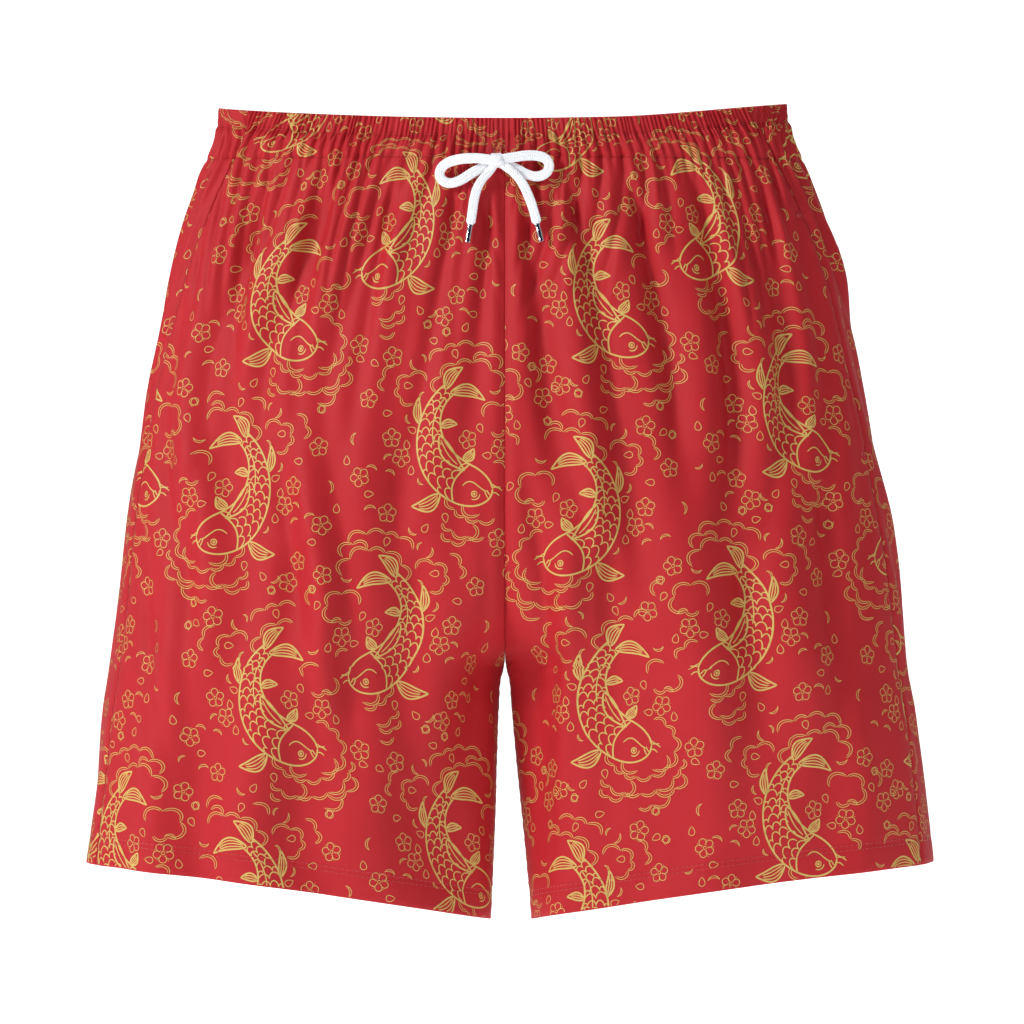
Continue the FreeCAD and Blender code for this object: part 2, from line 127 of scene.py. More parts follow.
def two_tone(node, factor, low, high):
    """A colour between two, by a factor from 0 to 1."""
    ramp = node("ShaderNodeValToRGB", {"Fac": factor})
    ramp.color_ramp.elements[0].color = (*low, 1)
    ramp.color_ramp.elements[1].color = (*high, 1)
    return ramp.outputs["Color"]


def thread_wave(node, coordinate, pitch, shift=0.0):
    """0 to 1, once for each thread along a coordinate in metres."""
    phase = calc(node, "MULTIPLY_ADD", coordinate, 2 * math.pi / pitch, shift)
    return calc(node, "MULTIPLY_ADD", calc(node, "SINE", phase), 0.5, 0.5)


def woven_material(name, low, high, roughness, sheen, pitch, bump):
    """Plain weave laid out on the cloth's flat pattern, with slow and fine colour changes."""
    material, node, shade = new_material(name, roughness, sheen=sheen, specular=0.22)
    flat, along, across = flat_pattern(node)
    warp, weft = thread_wave(node, along, pitch), thread_wave(node, across, pitch)
    checker = node("ShaderNodeTexChecker", {
        "Vector": flat, "Scale": 1 / pitch, "Color1": (1, 1, 1, 1), "Color2": (0, 0, 0, 1),
    })
    lift = node("ShaderNodeMix", {"Factor": checker.outputs["Fac"], 2: warp, 3: weft}, data_type="FLOAT").outputs[0]
    slubs = stretched(node, flat, (2400, 90, 1))
    mixed = calc(node, "MULTIPLY_ADD", speckle(node, flat, 38.0, 4.0), 0.55, 0.0)
    mixed = calc(node, "MULTIPLY_ADD", speckle(node, slubs, 1.0, 2.0), 0.30, mixed)
    mixed = calc(node, "MULTIPLY_ADD", lift, 0.15, mixed)
    shade({"Sheen Roughness": 0.45, "Base Color": two_tone(node, mixed, low, high)}, lift, 0.00006, bump)
    return material


def gold_print_material():
    """Gold ink, a little uneven."""
    material, node, shade = new_material("gold_print", 0.5, specular=0.3)
    flat, _, _ = flat_pattern(node)
    worn = speckle(node, flat, 260.0, 5.0, Roughness=0.65)
    gold = two_tone(node, worn, (0.50, 0.33, 0.085), (0.66, 0.46, 0.14))
    shade({"Base Color": gold}, speckle(node, flat, 2200.0, 2.0), 0.00003, 0.4)
    return material


def twisted_thread_material(name, low, high):
    """Sewing thread: fine diagonal plies by the thread's own length."""
    material, node, shade = new_material(name, 0.5, sheen=0.3, specular=0.35)
    _, along, across = flat_pattern(node)
    ply = thread_wave(node, calc(node, "ADD", along, across), 0.0006)
    shade({"Base Color": two_tone(node, ply, low, high)}, ply, 0.00008, 0.6)
    return material


def braid_material():
    """White tubular braid: chevrons of yarn that meet on the middle line of each flat face. Its bluish grey is painted
    shade between the yarns, and it glows a little as painted light.
    """
    material, node, shade = new_material("white_braid", 0.6, sheen=0.35, specular=0.3)
    _, along, aside = flat_pattern(node)
    across = calc(node, "ABSOLUTE", aside)
    yarn = thread_wave(node, calc(node, "MULTIPLY_ADD", across, 0.9, along), 0.00150)
    column = thread_wave(node, across, 0.0016, 1.0)
    both = calc(node, "MULTIPLY", yarn, column)
    # The low colour, a bluish grey where the yarns dip, is painted shade between them.
    white = two_tone(node, both, (0.84, 0.875, 0.94), (0.99, 0.99, 0.99))
    # Painted light: the braid glows a little, brighter than its lamps make it.
    shade({"Base Color": white, "Emission Color": white, "Emission Strength": 0.10}, both, 0.0005, 0.9)
    return material


def elastic_material():
    """Ribbed white elastic."""
    material, node, shade = new_material("elastic_webbing", 0.7, sheen=0.1, specular=0.3)
    _, along, across = flat_pattern(node)
    rib, knit = thread_wave(node, across, 0.0022), thread_wave(node, along, 0.0008)
    both = calc(node, "MULTIPLY_ADD", rib, 0.7, knit)
    shade({"Base Color": two_tone(node, both, (0.62, 0.61, 0.58), (0.84, 0.83, 0.80))}, both, 0.0002, 0.6)
    return material


AGLET_SEAM = 1.50           # where the rolled tube closes, as an angle round it; the dark stripe of painted reflection lies along it too
AGLET_SCALE = 1.12          # the aglet's profile is drawn for a thinner cord
# Dark navy of a painted reflection, laid along the aglet's front face.
PAINTED_REFLECTION_NAVY = (0.030, 0.035, 0.10, 1)


def aglet_material():
    """Nickel plate with fine drawing marks, and a dark navy stripe of painted reflection along the rolled seam."""
    material, node, shade = new_material("bright_metal", 0.16, metallic=1.0)
    place = node("ShaderNodeTexCoord").outputs["Object"]
    marks = speckle(node, stretched(node, place, (6000, 6000, 300)), 1.0, 3.0)
    plate = two_tone(node, marks, (0.66, 0.67, 0.72), (0.84, 0.85, 0.88))
    _, around, _ = flat_pattern(node)
    # Painted reflection: a dark navy stripe down the front of the tube, over the seam's groove.
    distance = calc(node, "ABSOLUTE", calc(node, "SUBTRACT", around, AGLET_SEAM * 0.0018))
    seam = node("ShaderNodeMapRange", {"Value": distance, "From Min": 0.0006, "From Max": 0.0009})
    colour = node("ShaderNodeMix", {"Factor": seam.outputs[0], 6: PAINTED_REFLECTION_NAVY, 7: plate}, data_type="RGBA")
    rough = node("ShaderNodeMapRange", {"Value": marks, "To Min": 0.10, "To Max": 0.30})
    shade({"Base Color": colour.outputs[2], "Roughness": rough.outputs[0]})
    return material


def paper_material(name, glow):
    """Pale studio paper."""
    material, node, shade = new_material(name, 0.9, specular=0.1)
    fibre = speckle(node, node("ShaderNodeTexCoord").outputs["Object"], 6.0, 3.0)
    pale = two_tone(node, fibre, (0.90, 0.90, 0.90), (0.93, 0.93, 0.93))
    shade({"Base Color": pale, "Emission Color": pale, "Emission Strength": glow})
    return material


red_cloth = woven_material("red_cloth", (0.385, 0.0095, 0.0148), (0.485, 0.016, 0.0235), 0.58, 0.03, 0.00042, 0.5)
lining_cloth = woven_material("lining_cloth", (0.36, 0.018, 0.026), (0.50, 0.034, 0.042), 0.75, 0.10, 0.0005, 0.6)
label_cloth = woven_material("label_cloth", (0.70, 0.69, 0.66), (0.86, 0.85, 0.83), 0.5, 0.2, 0.00035, 0.4)
gold_print = gold_print_material()
red_thread = twisted_thread_material("red_thread", (0.40, 0.013, 0.019), (0.54, 0.024, 0.032))
white_thread = twisted_thread_material("white_thread", (0.72, 0.72, 0.72), (0.9, 0.9, 0.9))
white_braid = braid_material()
elastic_webbing = elastic_material()
bright_metal = aglet_material()


# ---------------------------------------------------------------- mesh helpers


def add_mesh(name, points, faces, material, flat=None, smooth=True):
    """A mesh piece. flat gives each point its place on the flat pattern."""
    mesh = bpy.data.meshes.new(name)
    mesh.from_pydata([tuple(p) for p in points], [], [tuple(f) for f in faces])
    mesh.materials.append(material)
    if flat is not None:
        layer = mesh.uv_layers.new(name="flat")
        corners = np.empty(len(mesh.loops), dtype=np.int32)
        mesh.loops.foreach_get("vertex_index", corners)
        layer.data.foreach_set("uv", np.asarray(flat, dtype=np.float32)[corners].ravel())
    mesh.polygons.foreach_set("use_smooth", [smooth] * len(mesh.polygons))
    mesh.update()
    piece = bpy.data.objects.new(name, mesh)
    bpy.context.collection.objects.link(piece)
    return piece


def grid_faces(rows, columns, closed=False):
    """The quads of a grid of points, row by row."""
    faces = []
    for row in range(rows - 1):
        for column in range(columns if closed else columns - 1):
            after = (column + 1) % columns
            faces.append((
                row * columns + column,
                row * columns + after,
                (row + 1) * columns + after,
                (row + 1) * columns + column,
            ))
    return faces


def thicken(piece, thickness):
    """Gives a sheet its thickness, inwards from its points."""
    modifier = piece.modifiers.new("thickness", "SOLIDIFY")
    modifier.thickness = thickness
    modifier.offset = -1.0
    modifier.use_even_offset = False
    depsgraph = bpy.context.evaluated_depsgraph_get()
    finished = bpy.data.meshes.new_from_object(piece.evaluated_get(depsgraph))
    piece.modifiers.clear()
    piece.data = finished


def smoothstep(low, high, value):
    """0 at low, 1 at high, smooth between. low may be the larger."""
    t = np.clip((value - low) / (high - low), 0.0, 1.0)
    return t * t * (3 - 2 * t)


def smooth_through(x, knots, values):
    """A smooth curve through the values: cubic pieces with averaged slopes."""
    slopes = np.diff(values) / np.diff(knots)
    tangents = np.concatenate(([slopes[0]], (slopes[1:] + slopes[:-1]) / 2, [slopes[-1]]))
    i = np.clip(np.searchsorted(knots, x) - 1, 0, len(knots) - 2)
    h = knots[i + 1] - knots[i]
    t = (x - knots[i]) / h
    return (
        (1 + 2 * t) * (1 - t) ** 2 * values[i] + t * (1 - t) ** 2 * h * tangents[i]
        + t * t * (3 - 2 * t) * values[i + 1] + t * t * (t - 1) * h * tangents[i + 1]
    )


def noise(x, y, seed):
    """Smooth noise from -1 to 1, one cell per unit."""
    table = np.random.RandomState(seed).uniform(-1, 1, (64, 64))
    x, y = np.broadcast_arrays(np.asarray(x, float), np.asarray(y, float))
    x0, y0 = np.floor(x).astype(int), np.floor(y).astype(int)
    fx, fy = x - x0, y - y0
    fx, fy = fx * fx * (3 - 2 * fx), fy * fy * (3 - 2 * fy)
    a = table[x0 % 64, y0 % 64] * (1 - fx) + table[(x0 + 1) % 64, y0 % 64] * fx
    b = table[x0 % 64, (y0 + 1) % 64] * (1 - fx) + table[(x0 + 1) % 64, (y0 + 1) % 64] * fx
    return a * (1 - fy) + b * fy


def bilinear(grid, i, j, fi, fj):
    """Between four neighbours of a grid: fi of the way to the next row, fj to the next column."""
    return (
        grid[i, j] * (1 - fi) * (1 - fj) + grid[i + 1, j] * fi * (1 - fj)
        + grid[i, j + 1] * (1 - fi) * fj + grid[i + 1, j + 1] * fi * fj
    )


# ---------------------------------------------------------------- the drawcord's routes

# Control points along each cord's centre, in metres.
LOOP_LEFT = [
    (-0.0050, -0.0700, -0.0398), (-0.0024, -0.0710, -0.0392), (0.0068, -0.0702, -0.0374), (0.0175, -0.0692, -0.0360),
    (0.0263, -0.0686, -0.0374), (0.0300, -0.0686, -0.0420), (0.0286, -0.0688, -0.0476), (0.0228, -0.0688, -0.0508),
    (0.0152, -0.0678, -0.0496), (0.0066, -0.0666, -0.0446), (-0.0022, -0.0658, -0.0416), (-0.0048, -0.0660, -0.0408),
]
LOOP_RIGHT = [
    (-0.0070, -0.0700, -0.0400), (-0.0096, -0.0710, -0.0394), (-0.0200, -0.0702, -0.0380), (-0.0310, -0.0692, -0.0388),
    (-0.0394, -0.0687, -0.0414), (-0.0439, -0.0686, -0.0465), (-0.0432, -0.0687, -0.0522), (-0.0376, -0.0688, -0.0554),
    (-0.0304, -0.0686, -0.0536), (-0.0232, -0.0678, -0.0488), (-0.0162, -0.0667, -0.0448), (-0.0094, -0.0658, -0.0418),
    (-0.0068, -0.0660, -0.0408),
]
TAIL_LEFT = [
    (-0.0036, -0.0700, -0.0412), (0.0014, -0.0716, -0.0446), (0.0066, -0.0714, -0.0486), (0.0118, -0.0714, -0.0549),
    (0.0158, -0.0718, -0.0634), (0.0192, -0.0734, -0.0730), (0.0215, -0.0754, -0.0824),
]
TAIL_RIGHT = [
    (-0.0070, -0.0694, -0.0424), (-0.0098, -0.0700, -0.0468), (-0.0145, -0.0705, -0.0514), (-0.0183, -0.0709, -0.0573),
    (-0.0205, -0.0718, -0.0648), (-0.0217, -0.0734, -0.0740), (-0.0231, -0.0754, -0.0830),
]


def spline_points(name, route):
    """Points along the smooth line of a route."""
    curve = bpy.data.curves.new(name, "CURVE")
    curve.dimensions = "3D"
    curve.resolution_u = 24
    spline = curve.splines.new("NURBS")
    spline.points.add(len(route) - 1)
    for point, place in zip(spline.points, route):
        point.co = (*place, 1)
    spline.order_u = 3
    spline.use_endpoint_u = True
    holder = bpy.data.objects.new(name, curve)
    line = bpy.data.meshes.new_from_object(holder)
    points = np.array([vertex.co[:] for vertex in line.vertices])
    bpy.data.objects.remove(holder)
    bpy.data.curves.remove(curve)
    bpy.data.meshes.remove(line)
    return points


def even(points, step):
    """Evenly spaced points along a line, and their distances from its start."""
    lengths = np.concatenate(([0], np.cumsum(np.linalg.norm(np.diff(points, axis=0), axis=1))))
    at = np.linspace(0, lengths[-1], int(lengths[-1] / step) + 1)
    return np.stack([np.interp(at, lengths, points[:, k]) for k in range(3)], axis=1), at


CORD_STEP = 0.0004          # between the rings of points along a cord
LOOP_WIDTH, LOOP_THICKNESS = 0.0066, 0.0027
TAIL_WIDTH, TAIL_THICKNESS = 0.0054, 0.0028
KNOT_THICKNESS = 0.0034
KNOT_X = -0.0060


def unit(vectors):
    return vectors / np.linalg.norm(vectors, axis=1, keepdims=True)


def signed_power(value, exponent):
    """Below 1, the exponent makes a circle squarer."""
    return np.sign(value) * np.abs(value) ** exponent


def braid_skin(name, points, at, tangent, facing, wide, thick, loose, outline, yarn, closed):
    """The skin of a flat braid. outline is (angles, across, out) round it; yarn stands out from it."""
    a, cx, cy = outline
    tangent = unit(tangent)
    across = unit(np.cross(tangent, facing))
    face = np.cross(across, tangent)
    wide, thick = np.broadcast_to(wide, at.shape), np.broadcast_to(thick, at.shape)
    places = (
        points[:, None, :]
        + across[:, None, :] * ((wide * loose / 2)[:, None] * cx + yarn * np.cos(a))[..., None]
        + face[:, None, :] * ((thick / 2)[:, None] * cy + yarn * np.sin(a))[..., None]
    )
    count, around = places.shape[:2]
    faces = grid_faces(count, around, closed=True)
    last = (count - 1) * around
    if closed:
        faces += [(last + k, last + (k + 1) % around, (k + 1) % around, k) for k in range(around)]
    else:
        faces += [tuple(range(around))[::-1], tuple(range(last, last + around))]
    flat = np.stack((
        np.broadcast_to(at[:, None], (count, around)), (wide / 2)[:, None] * cx + 0 * places[..., 0],
    ), axis=-1)
    return add_mesh(name, places.reshape(-1, 3), faces, white_braid, flat.reshape(-1, 2))


def braid(name, line, width, thickness, facing=(0.0, -1.0, 0.0)):
    """A flattened tubular braid along a line, in metres. The width may change along it."""
    points, at = even(line, CORD_STEP)
    a = np.arange(44) * 2 * math.pi / 44
    yarn = 0.00020 * np.cos(9 * a[None, :] + 0.6) * np.cos(2 * math.pi * at / 0.0023)[:, None]
    yarn = yarn + 0.00005 * noise(a[None, :] * 3, at[:, None] / 0.0015, 41)
    loose = 1 + 0.035 * noise(at / 0.006, 0.0, 43)
    outline = (a, signed_power(np.cos(a), 0.72), signed_power(np.sin(a), 0.72))
    tangent = np.gradient(points, axis=0)
    return braid_skin(name, points, at, tangent, facing, width, thickness, loose, outline, yarn, closed=False)


def braid_ring(name, line, outward, width):
    """A flat braid wrapped once round the knot: its flat face points outwards."""
    points = line[:-1]
    at = np.concatenate(([0], np.cumsum(np.linalg.norm(np.diff(points, axis=0), axis=1))))
    a = np.arange(40) * 2 * math.pi / 40
    yarn = 0.0002 * np.cos(9 * a[None, :]) * np.cos(2 * math.pi * at / 0.0020)[:, None]
    yarn = yarn + 0.0006 * np.cos(a * 2)[None, :] * 0.4
    outline = (a, np.cos(a), signed_power(np.sin(a), 0.85))
    tangent = np.roll(points, -1, axis=0) - np.roll(points, 1, axis=0)
    return braid_skin(
        name, points, at, tangent, outward[:-1], width, KNOT_THICKNESS, 1.0, outline, yarn, closed=True,
    )


def build_bow():
    """The two loops and the wrapped knot between them."""
    for word, route, length in (("left", LOOP_LEFT, 0.0770), ("right", LOOP_RIGHT, 0.0835)):
        line = spline_points(f"loop_{word}_line", route)
        loop = braid(f"bow_strand_{word}", line, LOOP_WIDTH, LOOP_THICKNESS)
        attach(loop, ROOT)
        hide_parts(f"bow_loop_{word}")
    turn = np.linspace(0, 2 * math.pi, 121)
    for name, centre, deep, tall, lean, wide in (
        ("knot_wrap", (-0.0062, -0.0680, -0.0397), 0.0052, 0.0034, 0.30, 0.0066),
        ("knot_cross", (-0.0046, -0.0680, -0.0412), 0.0046, 0.0022, -0.60, 0.0062),
    ):
        y, z = deep * np.cos(turn), tall * np.sin(turn)
        ring_line = np.array(centre) + np.stack((z * math.sin(lean), y, z * math.cos(lean)), axis=1)
        outward = np.stack((0 * y, np.cos(turn), np.sin(turn)), axis=1)
        strand = braid_ring(name, ring_line, outward, wide)
        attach(strand, ROOT)
        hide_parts("bow_knot")
    # Where the cord comes out of the two buttonholes, behind the knot.
    for word, sign in SIDES.items():
        mouth = (KNOT_X + sign * 0.0027, -0.0545, -0.0330)
        line = spline_points(f"exit_{word}_line", [
            mouth, (mouth[0], -0.0600, -0.0348), (KNOT_X + sign * 0.0010, -0.0662, -0.0396),
        ])
        out = braid(f"cord_exit_{word}", line, 0.0030, 0.0024, (0.0, 0.0, 1.0))
        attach(out, ROOT)
        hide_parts("drawcord_in_channel")


def build_tails():
    """The hanging ends, each with its crimped metal tip."""
    for word, route, length, bend in (
        ("left", TAIL_LEFT, 0.0500, ((-0.0030, -0.070, -0.0419), (0.0060, -0.0714, -0.0481))),
        ("right", TAIL_RIGHT, 0.0450, ((-0.0074, -0.070, -0.0429), (-0.0140, -0.0705, -0.0509))),
    ):
        line = spline_points(f"tail_{word}_line", route)
        points, at = even(line, CORD_STEP)
        total = at[-1]
        width = TAIL_WIDTH + 0.0010 * smoothstep(0.004, 0.034, at) - 0.0027 * smoothstep(total - 0.0026, total, at)
        tail = braid(f"tail_strand_{word}", line, width, TAIL_THICKNESS)
        tip = build_aglet(f"tip_{word}", points[-1], points[-1] - points[-6])
        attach(tip, f"tail_{word}")
        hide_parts(f"aglet_{word}")
        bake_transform(tail)
        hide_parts(f"cord_tail_{word}")


def build_aglet(name, place, direction):
    """A rolled and crimped metal tube, closed at its foot."""
    profile = [
        (1.35, 0.0), (1.62, 0.0), (1.78, 0.12), (1.80, 0.5), (1.80, 1.7), (1.62, 2.3), (1.62, 2.8), (1.80, 3.4),
        (1.80, 6.0), (1.80, 9.0), (1.66, 9.5), (1.66, 9.9), (1.80, 10.4), (1.80, 11.7), (1.70, 12.15), (1.40, 12.4),
        (0.9, 12.4), (0.7, 12.1), (0.02, 12.0),
    ]
    around = 60
    points, flat = [], []
    for radius, z in profile:
        for k in range(around):
            a = 2 * math.pi * k / around
            groove = 0.30 * math.exp(-(((a - AGLET_SEAM) / 0.30) ** 2)) if radius > 1.5 else 0.0
            r = radius * AGLET_SCALE - groove
            points.append((r * math.cos(a), 0.93 * r * math.sin(a), z))
            flat.append((a * 1.8 * MM, z * MM))
    points = np.array(points) * MM
    along = Vector(direction).normalized()
    front = (Vector((0, -1, 0)) + along * along.y).normalized()
    frame_axes = np.array((front.cross(along), front, along))
    points = points @ frame_axes + np.asarray(place)
    faces = grid_faces(len(profile), around, closed=True)
    return add_mesh(name, points, faces, bright_metal, flat)


build_bow()
build_tails()

# ---------------------------------------------------------------- the body shape of the shorts

# drop, x of the outside, x of a leg section's centre, half depth
LEVELS = np.array([
    (0, 192, 0, 56), (19, 193.5, 0, 57), (38, 200, 0, 60), (62, 209, 0.3, 66),
    (99, 221, 1.9, 74), (170, 237, 13, 86), (240, 251, 37.5, 92), (300, 260.5, 72, 93),
    (342, 266, 104, 91), (360, 268, 121, 89.5), (372, 269.2, 132.6, 88.3),
    (384, 270.7, 136.2, 87), (404, 274, 138.9, 85), (440, 278, 142, 81),
    (505, 284, 147.2, 73.5), (585, 288.5, 152, 65),
])
SIDE_SEAM = 24.0            # the side seam lies this far in front of the side
HEM_DROP = 550.0            # at x = 0
HEM_SLOPE = 0.1402
HEM_LEVEL = 530.0           # the section that gives the hem its x
TURNUP = 20.0
FORK_DROP = 336.0           # where the legs' flat cloth begins
LEG_SHIFT = 4.0             # the inseams hang a little to the wearer's left
FRONT_RISE = 4.0            # the front hem's middle curves up by this
ROW_UPPER = 12.0            # stitch rows of the casing
ROW_LOWER = 36.5
CASING_END = 37.0
PANEL_TOP = 36.0            # the panels start just under the casing's edge
EDGE_DIP, CENTRE_DIP, BACK_DIP = 1.8, 8.8, 7.2   # the top edge hangs lower in the middle
TABLE_STEP = 2.0
TABLE_SHARES = 129


def section(drop):
    """Outside x, centre x and half depth of a leg's section, in millimetres."""
    return tuple(smooth_through(drop, LEVELS[:, 0], LEVELS[:, column]) for column in (1, 2, 3))


def angle_table(face):
    """The section's angle for each drop and share, evenly spaced along the cloth, and the cloth's width."""
    drops = np.arange(0, 600 + TABLE_STEP, TABLE_STEP)
    outside, centre, depth = section(drops)
    half = outside - centre
    side = np.arcsin(SIDE_SEAM / depth)
    middle = np.arccos(np.clip(-centre / half, -1, 1))
    start = middle if face == "front" else -middle
    fine = np.linspace(0, 1, 401)
    angles = start[:, None] + (side - start)[:, None] * fine
    x = half[:, None] * np.cos(angles)
    y = depth[:, None] * np.sin(angles)
    length = np.concatenate(
        (np.zeros((len(drops), 1)), np.cumsum(np.hypot(np.diff(x), np.diff(y)), axis=1)), axis=1,
    )
    shares = np.linspace(0, 1, TABLE_SHARES)
    table = np.array([np.interp(shares * length[i, -1], length[i], angles[i]) for i in range(len(drops))])
    return table, length[:, -1]


ANGLES = {face: angle_table(face) for face in ("front", "back")}


def cloth_angle(face, share, drop):
    """The section's angle at a share and drop, read from the table."""
    table = ANGLES[face][0]
    u = np.clip(drop / TABLE_STEP, 0, len(table) - 1.001)
    v = np.clip(share, 0, 1) * (TABLE_SHARES - 1.001)
    i, j = u.astype(int), v.astype(int)
    fu, fv = u - i, v - j
    return bilinear(table, i, j, fu, fv)


def fullness(drop):
    """How much wider the flat cloth is than the body there: gathered at the waist, plain below."""
    return 0.02 + 0.38 * np.exp(-np.maximum(drop, 0) / 95.0)


def flat_width(face, drop):
    arc = np.interp(drop, np.arange(len(ANGLES[face][1])) * TABLE_STEP, ANGLES[face][1])
    return arc * (1 + fullness(drop))


def side_reach(face, drop):
    """Where the side seam lies on the flat cloth: across from the middle of the body."""
    above = flat_width(face, np.minimum(drop, FORK_DROP))
    at_fork = section(np.array([FORK_DROP]))[0][0]
    return above + np.where(drop > FORK_DROP, section(drop)[0] - at_fork, 0.0)


def flat_across(face, share, drop):
    """Flat distance from the line of the body's middle. Below the crotch the leg reaches past it."""
    return side_reach(face, drop) - (1 - share) * flat_width(face, drop)


def share_at(face, p, drop):
    """The share at a flat distance p from the line of the body's middle."""
    return 1 - (side_reach(face, drop) - p) / flat_width(face, drop)


def hem_drop(face, share):
    """The drop of the hem's edge."""
    outside, centre, _ = section(np.array([HEM_LEVEL]))
    angle = cloth_angle(face, share, np.full(np.shape(share), HEM_LEVEL))
    x = centre[0] + (outside[0] - centre[0]) * np.cos(angle)
    rise = FRONT_RISE * np.sin(math.pi * np.clip(share, 0, 1)) if face == "front" else 0.0
    return HEM_DROP - HEM_SLOPE * x - rise


# ---------------------------------------------------------------- folds and gathers


def fold_wave(p, drop, pitch, seed, drift=0.12, sharp=0.5):
    """Folds of about one pitch: rounded crests, narrow valleys, uneven spacing. From -1 to 1."""
    lean = noise(p / (pitch * 5), drop / 160.0, seed + 3) * drift * drop
    warped = (p + lean) / pitch + 0.42 * noise(p / (pitch * 2.1), drop / 260.0, seed)
    height = 2 * (np.sin(math.pi * warped) ** 2 + 0.02) ** sharp - 1.02
    strength = 0.78 + 0.40 * noise(p / (pitch * 1.7), drop / 200.0, seed + 1)
    return height * strength


def faded(p, drop, start, full, end, ragged, pitch, seed):
    """Fades a family of folds in, and out again at a length that varies from fold to fold."""
    last = end + ragged * noise(p / pitch, 0.0, seed)
    return smoothstep(start, full, drop) * (1 - smoothstep(last * 0.55, last, drop))


def crease(p, drop, start, end, wide, deep):
    """A straight valley from start to end, each (p, drop), that widens and fades downwards."""
    along = np.clip((drop - start[1]) / (end[1] - start[1]), 0, 1)
    centre = start[0] + (end[0] - start[0]) * along
    reach = wide * (0.6 + 1.2 * along)
    strength = smoothstep(start[1] - 14, start[1] + 22, drop) * (1 - smoothstep(end[1] - 90, end[1] + 40, drop))
    return -1.5 * deep * strength * np.exp(-((p - centre) / reach) ** 2)


# Longer folds that the photograph shows: (face, side, start, end, width, depth)
CREASES = [
    ("front", -1, (12, 62), (34, 330), 8, 4.6), ("front", -1, (40, 56), (74, 300), 7, 4.2),
    ("front", -1, (92, 50), (112, 250), 6, 3.6), ("front", -1, (150, 52), (152, 360), 9, 4.2),
    ("front", -1, (205, 60), (196, 300), 8, 4.0), ("front", -1, (60, 300), (80, 540), 15, 5.0),
    ("front", -1, (150, 300), (158, 545), 16, 5.2), ("front", -1, (225, 250), (232, 520), 11, 4.2),
    ("front", 1, (14, 62), (40, 300), 8, 4.6), ("front", 1, (52, 54), (96, 330), 8, 4.4),
    ("front", 1, (104, 52), (130, 280), 7, 3.8), ("front", 1, (160, 56), (170, 330), 9, 4.4),
    ("front", 1, (214, 58), (208, 320), 8, 4.2), ("front", 1, (70, 290), (76, 540), 15, 5.4),
    ("front", 1, (168, 300), (178, 545), 15, 5.0), ("front", 1, (230, 260), (238, 520), 11, 4.2),
    ("back", -1, (30, 60), (60, 300), 8, 4.4), ("back", -1, (120, 60), (130, 320), 9, 4.4),
    ("back", -1, (90, 300), (96, 540), 16, 5.2), ("back", -1, (215, 80), (216, 520), 12, 4.4),
    ("back", 1, (34, 60), (56, 300), 8, 4.4), ("back", 1, (112, 60), (126, 320), 9, 4.4),
    ("back", 1, (94, 300), (104, 540), 16, 5.2), ("back", 1, (214, 80), (220, 520), 12, 4.4),
]
POCKET_TOP, POCKET_LOW = 75.0, 235.0


